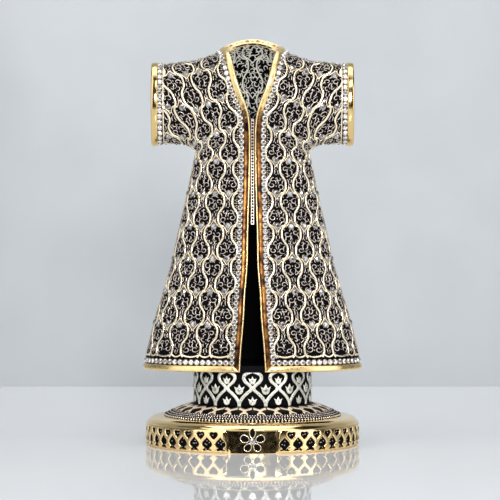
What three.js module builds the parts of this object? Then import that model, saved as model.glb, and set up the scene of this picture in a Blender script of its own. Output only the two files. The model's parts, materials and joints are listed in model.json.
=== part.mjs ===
// An ornamental kaftan on a round stand: short straight sleeves, a V neck, fronts that part below
// the waist, and gold edging. Millimetres, +Z up, -Y is the front, and +X is the wearer's left.
// The cloth is a thin wall through rows of points. Its outer face carries a lattice of wavy ridges.
import * as THREE from 'three';

const GAP = 0.3; // between neighbouring solids
const WALL = 2; // thickness of the cloth
const FRONT = -1;
const BACK = 1;

// Heights of the kaftan
const HEM_Z = 37.6;
const UNDERARM_Z = 146;

// The skirt's sections are half ellipses, front and back
const SKIRT = [
  { z: 37.6, halfWidth: 53.5, halfDepth: 30 },
  { z: 43.7, halfWidth: 53.1, halfDepth: 29.4 },
  { z: 53, halfWidth: 50.9, halfDepth: 28.6 },
  { z: 63, halfWidth: 48.4, halfDepth: 27.6 },
  { z: 76, halfWidth: 44.4, halfDepth: 26 },
  { z: 92, halfWidth: 39.8, halfDepth: 24 },
  { z: 106, halfWidth: 36.8, halfDepth: 22.3 },
  { z: 122, halfWidth: 33, halfDepth: 20.5 },
  { z: 138, halfWidth: 29.7, halfDepth: 19 },
  { z: 146, halfWidth: 27.9, halfDepth: 18.5 },
];

// Half the gap between the fronts, from the hem up to the neck point
const FRONT_EDGE = [
  { z: 37.6, halfGap: 6.1 },
  { z: 49, halfGap: 5.4 },
  { z: 64, halfGap: 4.1 },
  { z: 76, halfGap: 3.5 },
  { z: 89, halfGap: 2.4 },
  { z: 104, halfGap: 2.1 },
  { z: 134, halfGap: 1.25 },
  { z: 153, halfGap: 1.1 },
  { z: 161, halfGap: 1.5 },
  { z: 168, halfGap: 2.9 },
  { z: 178, halfGap: 6.6 },
  { z: 195.7, halfGap: 11.6 },
  { z: 197.7, halfGap: 13.5 },
  { z: 199, halfGap: 14.3 },
];

// The ridge where front and back meet on top of the shoulder
const SHOULDER = [
  { x: 0, z: 199.5 },
  { x: 10, z: 199 },
  { x: 14, z: 197.6 },
  { x: 17, z: 195.7 },
  { x: 22, z: 193.6 },
  { x: 28, z: 191.8 },
];

// Chest, neck and sleeves
const CHEST_DEPTH = 18.5;
const CHEST_BEND = 0.49; // share of the yoke's rows that rounds from the shoulder to the upright chest
const CHEST_ROUND = 0.39; // share of the yoke's height in that rounding
const NECK_X = 13.5;
const NECK_RISE = 3.9; // the back neck's arch above the neck points
const NECK_DEPTH = 8;
const ARMHOLE_X = 28;
const YOKE_X = ARMHOLE_X - GAP / 2; // where the body's panels stop at the armhole
const ARMHOLE_DEPTH = 13.5;
const CUFF_X = 50.4;
const CUFF_DEPTH = 12;
const CUFF_BOTTOM_Z = 150.2;
const CUFF_TOP_Z = 189.3;
const UNDERARM_CURVE = 3.2; // how fast the sleeve's underside levels out

// Edging
const BAND = 2.8;
const BAND_RIM = 1.2; // height of the band's rims over the cloth
const BAND_CHANNEL = 0.75;
const BORDER = 5; // from a hem or cuff edge to where the lattice stops
const NECK_LIFT = 0.2; // more room under the neck band, where the cloth bends sharply

// Lattice: rows across the garment, and wavy lines down it
const ROW_HEIGHT = 16.14;
const ROWS = 10;
const STEPS = 3; // rows of points in a lattice row
const YOKE_ROWS = 11 / 3;
const FIRST_COLUMN = 10.4; // centre of the first column, from the front edge
const COLUMN_WIDTH = [
  { row: 0, width: 7.3 },
  { row: 5.5, width: 7 },
  { row: 10, width: 7.7 },
];
const WAVE = 1.3;
const RIDGE_HEIGHT = 0.5;
const RIDGE_WIDTH = 0.9;
const RIDGE_FADE = 4; // a ridge sinks over this length before a seam
const PINCH = 0.06; // spacing of lines that a seam cuts off
const SKIRT_LINES = { front: 7, back: 8 };
const SLEEVE_LINES = { count: 5, frontFirst: 2, backFirst: 4 };

// Closure strip in the gap between the fronts
const CLOSURE = { bottom: 110, top: 162, halfWidth: 0.75, proud: 0.2, deep: 1.4, steps: 10 };

// Stand, from the table up
const BASE_TOP = 14.5;
const STEP = { bottom: 14.8, top: 17.2, lowRadius: 44.5, highRadius: 38.8 };
const PETALS = { bottom: 17.5, top: 20.5, lowRadius: 38.8, highRadius: 30.2, count: 34, dip: 1.2 };
const DRUM = { bottom: 20.8, top: 37.3, radius: 29.5, repeats: 14, wave: 1.2, ridge: 0.5 };
const PLATE = { bottom: 37.6, top: 40.6 };
const BASE_SIDE = [
  // pits: 1 for a row of the lower openings, 2 for one of the upper openings, 0 for plain metal
  { z: 0, radius: 52.9, pits: 0 },
  { z: 1.3, radius: 53.3, pits: 0 },
  { z: 4.2, radius: 53.4, pits: 1 },
  { z: 7, radius: 53.4, pits: 0 },
  { z: 9.2, radius: 53.4, pits: 2 },
  { z: 11.2, radius: 53.1, pits: 0 },
  { z: 13, radius: 51.8, pits: 0 },
  { z: 14.1, radius: 49.4, pits: 0 },
  { z: BASE_TOP, radius: 46.5, pits: 0 },
];
const ARCHES = 48;
const PIT_DEPTH = 1;
const CARTOUCHE_ANGLE = 15; // degrees either side of the centre front that stay plain
const FLOWER = { z: 6.5, inner: 2, petal: 4.1, petals: 5, points: 40, thickness: 0.8 };

const BLACK = new THREE.MeshStandardMaterial({ color: 0x15151a, roughness: 0.55, metalness: 0.3 });
const LATTICE = new THREE.MeshStandardMaterial({ color: 0x4c4741, roughness: 0.4, metalness: 0.7 });
const GOLD = new THREE.MeshStandardMaterial({ color: 0xc9a765, roughness: 0.22, metalness: 1 });
const PALE_GOLD = new THREE.MeshStandardMaterial({ color: 0xc7bfae, roughness: 0.3, metalness: 1 });

/** Reads a table smoothly: a cubic through its rows, with slopes from the rows either side. */
function read(table, key, value, at) {
  const slope = (i) => {
    const low = table[Math.max(i - 1, 0)];
    const high = table[Math.min(i + 1, table.length - 1)];
    return (high[value] - low[value]) / (high[key] - low[key]);
  };
  const next = table.findIndex((row) => row[key] > at);
  const i = next < 0 ? table.length - 2 : Math.max(next - 1, 0);
  const span = table[i + 1][key] - table[i][key];
  const t = THREE.MathUtils.clamp((at - table[i][key]) / span, 0, 1);
  return (
    table[i][value] * (2 * t ** 3 - 3 * t ** 2 + 1) +
    table[i + 1][value] * (3 * t ** 2 - 2 * t ** 3) +
    span * (slope(i) * (t ** 3 - 2 * t ** 2 + t) + slope(i + 1) * (t ** 3 - t ** 2))
  );
}

const heightAt = (row) => UNDERARM_Z - (row - YOKE_ROWS) * ROW_HEIGHT;
const rowAt = (z) => YOKE_ROWS + (UNDERARM_Z - z) / ROW_HEIGHT;
const halfWidthAt = (row) => (row < YOKE_ROWS ? YOKE_X : read(SKIRT, 'z', 'halfWidth', heightAt(row)));

/** A point of the yoke, above the underarm: a blend from the chest's section to the armhole's. */
function yokePoint(side, row, across, inset) {
  const f = row / YOKE_ROWS;
  const x = YOKE_X * across;
  const share = across ** 2; // of the armhole's section in the blend
  const bend = Math.min(1, f / CHEST_BEND) * (Math.PI / 2);
  const straight = Math.max(0, (f - CHEST_BEND) / (1 - CHEST_BEND));
  const chestDrop = CHEST_ROUND * (1 - Math.cos(bend)) + (1 - CHEST_ROUND) * straight;
  const drop = THREE.MathUtils.lerp(chestDrop, (1 - Math.cos(Math.PI * f)) / 2, share);
  const chest = (CHEST_DEPTH - inset) * Math.sin(bend);
  const armhole = (ARMHOLE_DEPTH - inset) * Math.sin(Math.PI * f);
  const arch = side === BACK ? Math.max(0, 1 - (x / NECK_X) ** 2) : 0;
  const neck = Math.max(0, NECK_DEPTH - 0.8 * inset) * Math.sqrt(arch) * (1 - f ** 2);
  const ridge = read(SHOULDER, 'x', 'z', arch > 0 ? NECK_X : Math.abs(x)) + NECK_RISE * arch;
  const top = ridge - inset * (1 - 0.5 * Math.sqrt(arch));
  const bottom = UNDERARM_Z + inset * share;
  const depth = Math.sqrt(chest ** 2 * (1 - share) + armhole ** 2 * share + neck ** 2);
  return new THREE.Vector3(x, side * depth, top - drop * (top - bottom));
}

/** A point of the body at a turn from the centre (0) to the side seam (90 degrees). */
function bodyPoint(side, row, turn, inset = 0) {
  if (row < YOKE_ROWS) return yokePoint(side, row, Math.sin(turn), inset);
  const z = heightAt(row);
  const halfDepth = read(SKIRT, 'z', 'halfDepth', z) - inset;
  return new THREE.Vector3((halfWidthAt(row) - inset) * Math.sin(turn), side * halfDepth * Math.cos(turn), z);
}

/** How far from the centre a row starts: at the front edge, or at 0 on the back. */
function startX(side, row) {
  if (side === BACK) return 0;
  if (row >= YOKE_ROWS) return read(FRONT_EDGE, 'z', 'halfGap', heightAt(row));
  let low = 0;
  let high = YOKE_X;
  for (let i = 0; i < 30; i += 1) {
    const x = (low + high) / 2;
    const edge = read(FRONT_EDGE, 'z', 'halfGap', yokePoint(side, row, x / YOKE_X, 0).z);
    if (x < edge) low = x;
    else high = x;
  }
  return low;
}

/** A row of the body as a finely stepped line, with the length along it at each step. */
function rowLine(side, row, inset = 0) {
  const width = halfWidthAt(row) - (row < YOKE_ROWS ? 0 : inset);
  const start = Math.asin(startX(side, row) / width);
  const halfDepth = read(SKIRT, 'z', 'halfDepth', heightAt(row)) - inset;
  const end = row < YOKE_ROWS ? Math.PI / 2 : Math.acos(GAP / 2 / halfDepth);
  const steps = 60;
  const points = [];
  const lengths = [0];
  for (let i = 0; i <= steps; i += 1) {
    points.push(bodyPoint(side, row, THREE.MathUtils.lerp(start, end, i / steps), inset));
    if (i > 0) lengths.push(lengths[i - 1] + points[i].distanceTo(points[i - 1]));
  }
  return { points, lengths, length: lengths[steps] };
}

/** The point at a length along a row; a negative length is on the other half of the garment. */
function along(line, length) {
  const s = Math.min(Math.abs(length), line.length);
  const i = Math.max(1, line.lengths.findIndex((reached) => reached >= s - 1e-9));
  const t = (s - line.lengths[i - 1]) / (line.lengths[i] - line.lengths[i - 1]);
  const point = line.points[i - 1].clone().lerp(line.points[i], t);
  if (length < 0) point.x = -point.x;
  return point;
}

/** A point of the sleeve: ellipses from the armhole to the cuff, f from the top seam to the underarm. */
function sleevePoint(side, f, x, inset = 0) {
  const out = x - ARMHOLE_X;
  const t = out / (CUFF_X - ARMHOLE_X);
  const shoulder = read(SHOULDER, 'x', 'z', ARMHOLE_X);
  const top = shoulder + (CUFF_TOP_Z - shoulder) * t * (1.5 - 0.5 * t) - inset;
  const bottom = CUFF_BOTTOM_Z + (UNDERARM_Z - CUFF_BOTTOM_Z) * Math.exp(-out / UNDERARM_CURVE) + inset;
  const depth = THREE.MathUtils.lerp(ARMHOLE_DEPTH, CUFF_DEPTH, t) - inset;
  const angle = Math.PI * f;
  const z = (top + bottom) / 2 + ((top - bottom) / 2) * Math.cos(angle);
  return new THREE.Vector3(x, side * depth * Math.sin(angle), z);
}

/** Moves a point of a surface out along its normal, worked out from small steps either way. */
function raise(surface, u, v, height) {
  const step = 0.05;
  const alongU = surface(u + step, v).sub(surface(u - step, v));
  const alongV = surface(u, v + step).sub(surface(u, v - step));
  const normal = alongU.cross(alongV).normalize();
  return surface(u, v).addScaledVector(normal, height);
}

/** Keeps a body panel's point on its own side of the shoulder and side seams. */
function trim(point, side) {
  point.y = side * Math.max(side * point.y, GAP / 2);
  return point;
}

const waveAt = (index, row) => (index % 2 ? -1 : 1) * WAVE * Math.sin(2 * Math.PI * row);

/** Where a wavy line crosses a row, from the front edge or the centre back. */
function lineAt(side, index, row) {
  const origin = side === FRONT ? FIRST_COLUMN : 0;
  return origin + read(COLUMN_WIDTH, 'row', 'width', row) * (index - 0.5) + waveAt(index, row);
}

/** A ridge's three columns of points: its feet and its crest, which sinks at a seam or a hem. */
function ridge(position, low, high, row) {
  const reach = Math.min(position - low, high - position) - RIDGE_WIDTH;
  const fromEnd = Math.min(row, ROWS - row) * STEPS;
  const fade = THREE.MathUtils.clamp(reach / RIDGE_FADE, 0, 1) * THREE.MathUtils.clamp(fromEnd, 0, 1);
  return [-0.5, 0, 0.5].map((foot) => ({
    s: position + foot * RIDGE_WIDTH,
    height: foot === 0 ? RIDGE_HEIGHT * fade : 0,
  }));
}

/** Columns in order: any that a seam would cut off are pinched together just inside it. */
function pinched(columns, low, high) {
  const last = columns.length - 1;
  return columns.map(({ s, height }, i) => ({
    s: Math.min(Math.max(s, low + PINCH * i), high - PINCH * (last - i)),
    height,
  }));
}

/** The columns of points across a row of a body panel, on one side of the centre. */
function bodyColumns(side, row, line) {
  const count = side === FRONT ? SKIRT_LINES.front : SKIRT_LINES.back;
  const start = side === FRONT ? [{ s: 0, height: 0 }, { s: BAND, height: 0 }] : [];
  const first = side === FRONT ? 0 : 1;
  const lines = Array.from({ length: count }, (_, i) => {
    const s = lineAt(side, first + i, row);
    return ridge(s, 0, line.length, row);
  }).flat();
  return pinched([...start, ...lines, { s: line.length, height: 0 }], 0, line.length);
}

/** The rows of a body panel: the lattice's, then those of the hem's band. */
const bodyRows = [
  ...Array.from({ length: ROWS * STEPS + 1 }, (_, i) => i / STEPS),
  rowAt(HEM_Z + BAND + GAP),
  rowAt(HEM_Z),
];

/** Triangles of a grid of point numbers. */
function skin(grid) {
  const faces = [];
  for (let i = 0; i + 1 < grid.length; i += 1) {
    for (let j = 0; j + 1 < grid[i].length; j += 1) {
      const [a, b, c, d] = [grid[i][j], grid[i][j + 1], grid[i + 1][j + 1], grid[i + 1][j]];
      faces.push([a, b, c], [a, c, d]);
    }
  }
  return faces;
}

/** Triangles between two edges, matched by length along them if their numbers of points differ. */
function strip(points, p, q) {
  const shares = (edge) => {
    if (p.length === q.length) return edge.map((_, i) => i / (edge.length - 1));
    const lengths = [0];
    for (let i = 1; i < edge.length; i += 1) {
      lengths.push(lengths[i - 1] + points[edge[i]].distanceTo(points[edge[i - 1]]));
    }
    return lengths.map((length) => length / lengths.at(-1));
  };
  const [pShare, qShare] = [shares(p), shares(q)];
  const faces = [];
  let [i, j] = [0, 0];
  while (i + 1 < p.length || j + 1 < q.length) {
    const pNext = pShare[i] + pShare[i + 1];
    const qNext = qShare[j] + qShare[j + 1];
    const onP = j + 1 >= q.length || (i + 1 < p.length && pNext <= qNext);
    if (onP) {
      faces.push([p[i + 1], p[i], q[j]]);
      i += 1;
    } else {
      faces.push([p[i], q[j], q[j + 1]]);
      j += 1;
    }
  }
  return faces;
}

/** A closed body from points and triangles, turned right side out. */
function body(points, faces) {
  const volume = faces.reduce((sum, [a, b, c]) => {
    return sum + points[a].dot(points[b].clone().cross(points[c]));
  }, 0);
  const geometry = new THREE.BufferGeometry().setFromPoints(points);
  geometry.setIndex(faces.flatMap(([a, b, c]) => (volume > 0 ? [a, b, c] : [a, c, b])));
  geometry.computeVertexNormals();
  return geometry;
}

/** Closes an outer and an inner grid of points into one wall. A sleeve's rows wrap round. */
function wall(outer, inner, wraps = false) {
  const points = [...outer.flat(), ...inner.flat()];
  const count = outer.length * outer[0].length;
  const number = (rows, start) => rows.map((row, i) => row.map((_, j) => start + i * row.length + j));
  const [outside, inside] = [number(outer, 0), number(inner, count)];
  if (wraps) {
    outside.push(outside[0]);
    inside.push(inside[0]);
  }
  const first = (grid) => grid.map((row) => row[0]);
  const last = (grid) => grid.map((row) => row.at(-1));
  const faces = [...skin(outside), ...skin(inside).map(([a, b, c]) => [a, c, b])];
  faces.push(...strip(points, last(outside), last(inside)));
  faces.push(...strip(points, first(outside).reverse(), first(inside).reverse()));
  if (!wraps) {
    faces.push(...strip(points, outside[0], inside[0]));
    faces.push(...strip(points, outside.at(-1).slice().reverse(), inside.at(-1).slice().reverse()));
  }
  return body(points, faces);
}

const kaftan = new THREE.Group();

function add(name, geometry, material) {
  const mesh = new THREE.Mesh(geometry, material);
  mesh.name = name;
  kaftan.add(mesh);
}

/** A body panel's outer surface as a function of row and length, either side of the centre. */
const bodySurface = (side) => (row, s) => along(rowLine(side, Math.max(0, row)), s);

/** One row of outer points of a body panel, its ridges raised. */
function outerRow(side, row) {
  const columns = bodyColumns(side, row, rowLine(side, row));
  return columns.map(({ s, height }) => {
    const flush = bodySurface(side)(row, s);
    const point = height > 0 ? raise(bodySurface(side), Math.max(row, 0.06), s, -side * height) : flush;
    return trim(point, side);
  });
}

/** One row of the plain inside, in even steps. */
function innerRow(side, row, steps) {
  const line = rowLine(side, row, WALL);
  return Array.from({ length: steps + 1 }, (_, i) => {
    return trim(along(line, (line.length * i) / steps), side);
  });
}

const mirrored = (points) => points.map((point) => new THREE.Vector3(-point.x, point.y, point.z));

/** Both halves of a row, from the wearer's right side seam to the left one. */
function bothHalves(half, hasCentre) {
  const right = mirrored(half).reverse();
  return hasCentre ? [...right.slice(0, -1), ...half] : [...right, ...half];
}

function addPanels() {
  const innerRows = bodyRows.filter((_, i) => i === 0 || i % 2 === 1 || i === bodyRows.length - 1);
  const outer = bodyRows.map((row) => outerRow(FRONT, row));
  const inner = innerRows.map((row) => innerRow(FRONT, row, 6));
  add('front_left', wall(outer, inner), LATTICE);
  add('front_right', wall(outer.map(mirrored), inner.map(mirrored)), LATTICE);
  const backOuter = bodyRows.map((row) => bothHalves(outerRow(BACK, row), false));
  const backInner = innerRows.map((row) => bothHalves(innerRow(BACK, row, 6), true));
  add('back', wall(backOuter, backInner), LATTICE);
}

/** The columns along a sleeve at one station round it, from the armhole to the cuff. */
function sleeveColumns(side, row) {
  const armhole = rowLine(side, row).length;
  const firstLine = side === FRONT ? SLEEVE_LINES.frontFirst : SLEEVE_LINES.backFirst;
  const low = ARMHOLE_X + GAP / 2;
  const high = CUFF_X - BORDER;
  const lines = Array.from({ length: SLEEVE_LINES.count }, (_, i) => {
    return ridge(ARMHOLE_X + lineAt(side, firstLine + i, row) - armhole, low, high, row);
  }).flat();
  const inside = pinched([{ s: low, height: 0 }, ...lines, { s: high, height: 0 }], low, high);
  return [...inside, { s: CUFF_X - BAND, height: 0 }, { s: CUFF_X, height: 0 }];
}

/** Stations round a sleeve: down the front from the top seam, then up the back. */
const sleeveStations = [
  ...Array.from({ length: YOKE_ROWS * STEPS + 1 }, (_, i) => ({ side: FRONT, row: i / STEPS })),
  ...Array.from({ length: YOKE_ROWS * STEPS - 1 }, (_, i) => ({ side: BACK, row: YOKE_ROWS - (i + 1) / STEPS })),
];

function addSleeves() {
  const outer = sleeveStations.map(({ side, row }) => {
    const onSeam = row === 0 || row >= YOKE_ROWS;
    const surface = (f, x) => sleevePoint(side, f, x);
    return sleeveColumns(side, Math.min(row, YOKE_ROWS - 1e-6)).map(({ s, height }) => {
      return raise(surface, row / YOKE_ROWS, s, onSeam ? 0 : -side * height);
    });
  });
  const inner = sleeveStations.map(({ side, row }) => {
    return [ARMHOLE_X + GAP / 2, ARMHOLE_X + 4, CUFF_X].map((x) => sleevePoint(side, row / YOKE_ROWS, x, WALL));
  });
  add('sleeve_left', wall(outer, inner, true), LATTICE);
  add('sleeve_right', wall(outer.map(mirrored), inner.map(mirrored), true), LATTICE);
}

// A band's section: a channel between two rims
const BAND_SECTION = [
  { across: 0, height: BAND_RIM },
  { across: 0.5, height: BAND_RIM },
  { across: 1.4, height: BAND_CHANNEL },
  { across: 2.3, height: BAND_RIM },
  { across: BAND, height: BAND_RIM },
];
const BAND_SOLE = [0, BAND];

function addFrontBands() {
  const surface = bodySurface(FRONT);
  const place = (row, s, height) => trim(raise(surface, Math.max(row, 0.06), s, height), FRONT);
  const outer = bodyRows.map((row) => BAND_SECTION.map(({ across, height }) => place(row, across, height)));
  const inner = bodyRows.map((row) => BAND_SOLE.map((across) => place(row, across, GAP)));
  add('front_band_left', wall(outer, inner), GOLD);
  add('front_band_right', wall(outer.map(mirrored), inner.map(mirrored)), GOLD);
}

/** One row of a hem band, over the panel's own columns, at a height above the hem. */
function hemRow(side, above, height) {
  const row = rowAt(HEM_Z + above);
  const columns = bodyColumns(side, row, rowLine(side, row));
  const half = columns
    .filter(({ s }, i) => (side === BACK || s > BAND) && (i % 3 === 0 || i === columns.length - 1))
    .map(({ s }) => trim(raise(bodySurface(side), row, s, -side * height), side));
  if (side === BACK) return bothHalves(half, false);
  half.unshift(trim(raise(bodySurface(side), row, BAND + GAP, height), side));
  return half;
}

function addHemBands() {
  const outer = (side) => BAND_SECTION.map(({ across, height }) => hemRow(side, across, height));
  const sole = (side) => BAND_SOLE.map((across) => hemRow(side, across, GAP));
  add('hem_band_left', wall(outer(FRONT), sole(FRONT)), GOLD);
  add('hem_band_right', wall(outer(FRONT).map(mirrored), sole(FRONT).map(mirrored)), GOLD);
  add('hem_band_back', wall(outer(BACK), sole(BACK)), GOLD);
}

function addCuffBands() {
  const place = ({ side, row }, across, height) => {
    return raise((f, x) => sleevePoint(side, f, x), row / YOKE_ROWS, CUFF_X - across, -side * height);
  };
  const outer = sleeveStations.map((station) => {
    return BAND_SECTION.map(({ across, height }) => place(station, across, height));
  });
  const inner = sleeveStations.map((station) => BAND_SOLE.map((across) => place(station, across, GAP)));
  add('cuff_band_left', wall(outer, inner, true), GOLD);
  add('cuff_band_right', wall(outer.map(mirrored), inner.map(mirrored), true), GOLD);
}

/** The back neck's band lies on the cloth along the neck's arch. */
function addNeckBand() {
  const surface = (row, turn) => bodyPoint(BACK, Math.max(0, row), turn);
  const reach = Math.asin(NECK_X / YOKE_X);
  const turns = Array.from({ length: 15 }, (_, i) => reach * Math.sin(((i / 7 - 1) * Math.PI) / 2));
  const toRow = (across) => 0.06 + across / ROW_HEIGHT;
  const place = (across, turn, height) => {
    return trim(raise(surface, toRow(across), turn, -(height + NECK_LIFT)), BACK);
  };
  const outer = BAND_SECTION.map(({ across, height }) => turns.map((turn) => place(across, turn, height)));
  const inner = BAND_SOLE.map((across) => turns.map((turn) => place(across, turn, GAP)));
  add('neck_band', wall(outer, inner), GOLD);
}

function addClosure() {
  const side = (proud) => Array.from({ length: CLOSURE.steps + 1 }, (_, i) => {
    const z = THREE.MathUtils.lerp(CLOSURE.bottom, CLOSURE.top, i / CLOSURE.steps);
    const { y } = bodyPoint(FRONT, rowAt(z), 0);
    return [-1, 1].map((x) => new THREE.Vector3(x * CLOSURE.halfWidth, y - proud, z));
  });
  add('closure_strip', wall(side(CLOSURE.proud), side(-CLOSURE.deep)), GOLD);
}

/** A turned solid whose side is a grid of points, closed by a flat face at each end. */
function turned(stations, columns, pointAt) {
  const points = [];
  const rings = stations.map((station) => Array.from({ length: columns }, (_, j) => {
    points.push(pointAt(station, j, (2 * Math.PI * j) / columns));
    return points.length - 1;
  }));
  rings.forEach((ring) => ring.push(ring[0]));
  const faces = skin(rings);
  const cap = (ring, z) => {
    points.push(new THREE.Vector3(0, 0, z));
    return ring.slice(1).map((next, j) => [next, ring[j], points.length - 1]);
  };
  faces.push(...cap(rings[0], points[rings[0][0]].z));
  faces.push(...cap(rings.at(-1), points[rings.at(-1)[0]].z).map(([a, b, c]) => [b, a, c]));
  return body(points, faces);
}

/** Angle 0 is the centre front, and angles run towards the wearer's left. */
const polar = (radius, angle, z) => new THREE.Vector3(radius * Math.sin(angle), -radius * Math.cos(angle), z);

function addBase() {
  const plain = THREE.MathUtils.degToRad(CARTOUCHE_ANGLE);
  const geometry = turned(BASE_SIDE, 2 * ARCHES, ({ z, radius, pits }, j, angle) => {
    const fromFront = Math.min(angle, 2 * Math.PI - angle);
    const pitted = pits > 0 && j % 2 === pits - 1 && fromFront > plain + 0.01;
    return polar(pitted ? radius - PIT_DEPTH : radius, angle, z);
  });
  add('base', geometry, GOLD);
}

/** The five-petalled flower on the plain part of the base. */
function addFlower() {
  const shape = new THREE.Shape(Array.from({ length: FLOWER.points }, (_, i) => {
    const angle = (2 * Math.PI * i) / FLOWER.points;
    const fold = Math.abs(Math.cos((FLOWER.petals / 2) * angle));
    const radius = FLOWER.inner + FLOWER.petal * Math.sqrt(fold);
    return new THREE.Vector2(radius * Math.sin(angle), radius * Math.cos(angle));
  }));
  const geometry = new THREE.ExtrudeGeometry(shape, { depth: FLOWER.thickness, bevelEnabled: false });
  geometry.rotateX(Math.PI / 2);
  geometry.translate(0, -BASE_SIDE[2].radius - GAP, FLOWER.z);
  add('base_flower', geometry, PALE_GOLD);
}

function addBeadStep() {
  const { bottom, top, lowRadius, highRadius } = STEP;
  const stations = [
    { z: bottom, radius: lowRadius },
    { z: bottom + 0.6, radius: lowRadius },
    { z: top, radius: highRadius },
  ];
  add('bead_step', turned(stations, 48, ({ z, radius }, _, angle) => polar(radius, angle, z)), PALE_GOLD);
}

/** A ring of petals that slopes up to the drum; every second column is the dip between two. */
function addPetals() {
  const { bottom, top, lowRadius, highRadius, count, dip } = PETALS;
  const stations = [0, 0.25, 0.65, 1].map((t) => ({ t, z: THREE.MathUtils.lerp(bottom, top, t) }));
  const geometry = turned(stations, 2 * count, ({ t, z }, j, angle) => {
    const bulge = Math.sin(Math.PI * t) * dip;
    const radius = THREE.MathUtils.lerp(lowRadius, highRadius, t) + bulge;
    return polar(j % 2 ? radius - dip * (1 - t) : radius, angle, z);
  });
  add('petal_ring', geometry, PALE_GOLD);
}

/** The drum carries its own lattice: two wavy ridges to a repeat, three points wide. */
function addDrum() {
  const { bottom, top, radius, repeats, wave, ridge: height } = DRUM;
  const stations = Array.from({ length: 6 }, (_, i) => ({ i, z: THREE.MathUtils.lerp(bottom, top, i / 5) }));
  const geometry = turned(stations, 6 * repeats, ({ i, z }, j) => {
    const line = Math.floor(j / 3);
    const foot = ((j % 3) - 1) * 0.9;
    const swing = (line % 2 ? -1 : 1) * wave * Math.cos((Math.PI * i * 2) / 5);
    const angle = (Math.PI * (line + 0.5)) / repeats + (swing + foot) / radius;
    return polar(j % 3 === 1 ? radius + height : radius, angle, z);
  });
  add('drum', geometry, LATTICE);
}

/** The plate inside the hem follows the inside of the cloth and carries it. */
function addPlate() {
  const inset = WALL + GAP + 0.15;
  const edge = (side) => {
    const line = rowLine(side, rowAt(HEM_Z), inset);
    return Array.from({ length: 7 }, (_, i) => along(line, (line.length * i) / 6));
  };
  const back = edge(BACK);
  const half = [...edge(FRONT), ...back.slice(1, -1).reverse()];
  const outline = [...half, back[0], ...mirrored(half).reverse()];
  const shape = new THREE.Shape(outline.map(({ x, y }) => new THREE.Vector2(x, y)));
  const depth = PLATE.top - PLATE.bottom;
  const geometry = new THREE.ExtrudeGeometry(shape, { depth, bevelEnabled: false });
  geometry.translate(0, 0, PLATE.bottom);
  add('floor_plate', geometry, BLACK);
}

addPanels();
addSleeves();
addFrontBands();
addHemBands();
addCuffBands();
addNeckBand();
addClosure();
addPlate();
addDrum();
addPetals();
addBeadStep();
addBase();
addFlower();

export default kaftan;
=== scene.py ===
# %% [markdown]
# # An ornamental kaftan on a round stand
#
# The real object is a table ornament about twenty centimetres tall: a hollow, open-fronted kaftan
# with short sleeves, cast with a raised lattice, enamelled black in its ground, plated gold along
# its edges and set with small crystals. It stands on a drum and a round base.
# Nearly all of it is relief on a curved wall, so this lesson works out one surface for the cloth as
# numpy arrays, and then lays every ridge, scroll and stone on that surface.

import json
import math

import bpy
import numpy as np
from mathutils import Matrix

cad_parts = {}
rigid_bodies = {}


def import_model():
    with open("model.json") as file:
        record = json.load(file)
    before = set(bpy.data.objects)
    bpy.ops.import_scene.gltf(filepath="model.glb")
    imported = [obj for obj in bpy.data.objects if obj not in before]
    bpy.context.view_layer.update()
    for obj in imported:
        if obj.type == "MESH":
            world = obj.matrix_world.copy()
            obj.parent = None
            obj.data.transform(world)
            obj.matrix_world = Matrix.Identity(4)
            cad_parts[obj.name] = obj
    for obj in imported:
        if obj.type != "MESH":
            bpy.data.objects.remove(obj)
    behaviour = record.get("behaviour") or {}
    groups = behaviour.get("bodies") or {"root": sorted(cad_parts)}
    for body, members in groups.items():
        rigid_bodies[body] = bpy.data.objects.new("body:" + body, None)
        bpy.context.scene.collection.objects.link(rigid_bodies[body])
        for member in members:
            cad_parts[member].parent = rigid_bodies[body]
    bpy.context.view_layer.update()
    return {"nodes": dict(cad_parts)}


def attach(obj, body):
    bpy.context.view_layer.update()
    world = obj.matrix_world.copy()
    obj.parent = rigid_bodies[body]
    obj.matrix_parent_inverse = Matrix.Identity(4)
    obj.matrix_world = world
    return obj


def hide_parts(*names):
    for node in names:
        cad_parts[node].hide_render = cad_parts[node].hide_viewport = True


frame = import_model()
print("nodes:", sorted(frame["nodes"]))

# %% [markdown]
# ## Sizes
#
# A maker would cut the pattern from a few measurements. They are kept here in millimetres, as
# short tables, and the same cubic reads them as in the construction, so that both shapes agree.

# %% Driving sizes, in millimetres
MM = 0.001
FRONT, BACK = -1, 1
WALL = 2.0
HEM_Z = 37.6
UNDERARM_Z = 146.0
SKIRT_HALF_WIDTH = [(37.6, 53.5), (43.7, 53.1), (53, 50.9), (63, 48.4), (76, 44.4), (92, 39.8),
                    (106, 36.8), (122, 33), (138, 29.7), (146, 28)]
SKIRT_HALF_DEPTH = [(37.6, 30), (43.7, 29.4), (53, 28.6), (63, 27.6), (76, 26), (92, 24),
                    (106, 22.3), (122, 20.5), (138, 19), (146, 18.5)]
FRONT_HALF_GAP = [(37.6, 6.1), (49, 5.4), (64, 4.1), (76, 3.5), (89, 2.4), (104, 2.1), (134, 1.25),
                  (153, 1.1), (161, 1.5), (168, 2.9), (178, 6.6), (195.7, 11.6), (197.7, 13.5), (199, 14.3)]
SHOULDER_Z = [(0, 199.5), (10, 199), (14, 197.6), (17, 195.7), (22, 193.6), (28, 191.8)]
CHEST_DEPTH, CHEST_BEND, CHEST_ROUND = 18.5, 0.49, 0.39
NECK_X, NECK_RISE, NECK_DEPTH = 13.5, 3.9, 8.0
ARMHOLE_X, ARMHOLE_DEPTH = 28.0, 13.5
CUFF_X, CUFF_DEPTH, CUFF_BOTTOM_Z, CUFF_TOP_Z, UNDERARM_CURVE = 50.4, 12.0, 150.2, 189.3, 3.2
ROW_HEIGHT, ROWS, YOKE_ROWS = 16.14, 10, 11 / 3
FIRST_COLUMN, WAVE = 10.4, 1.6
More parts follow.
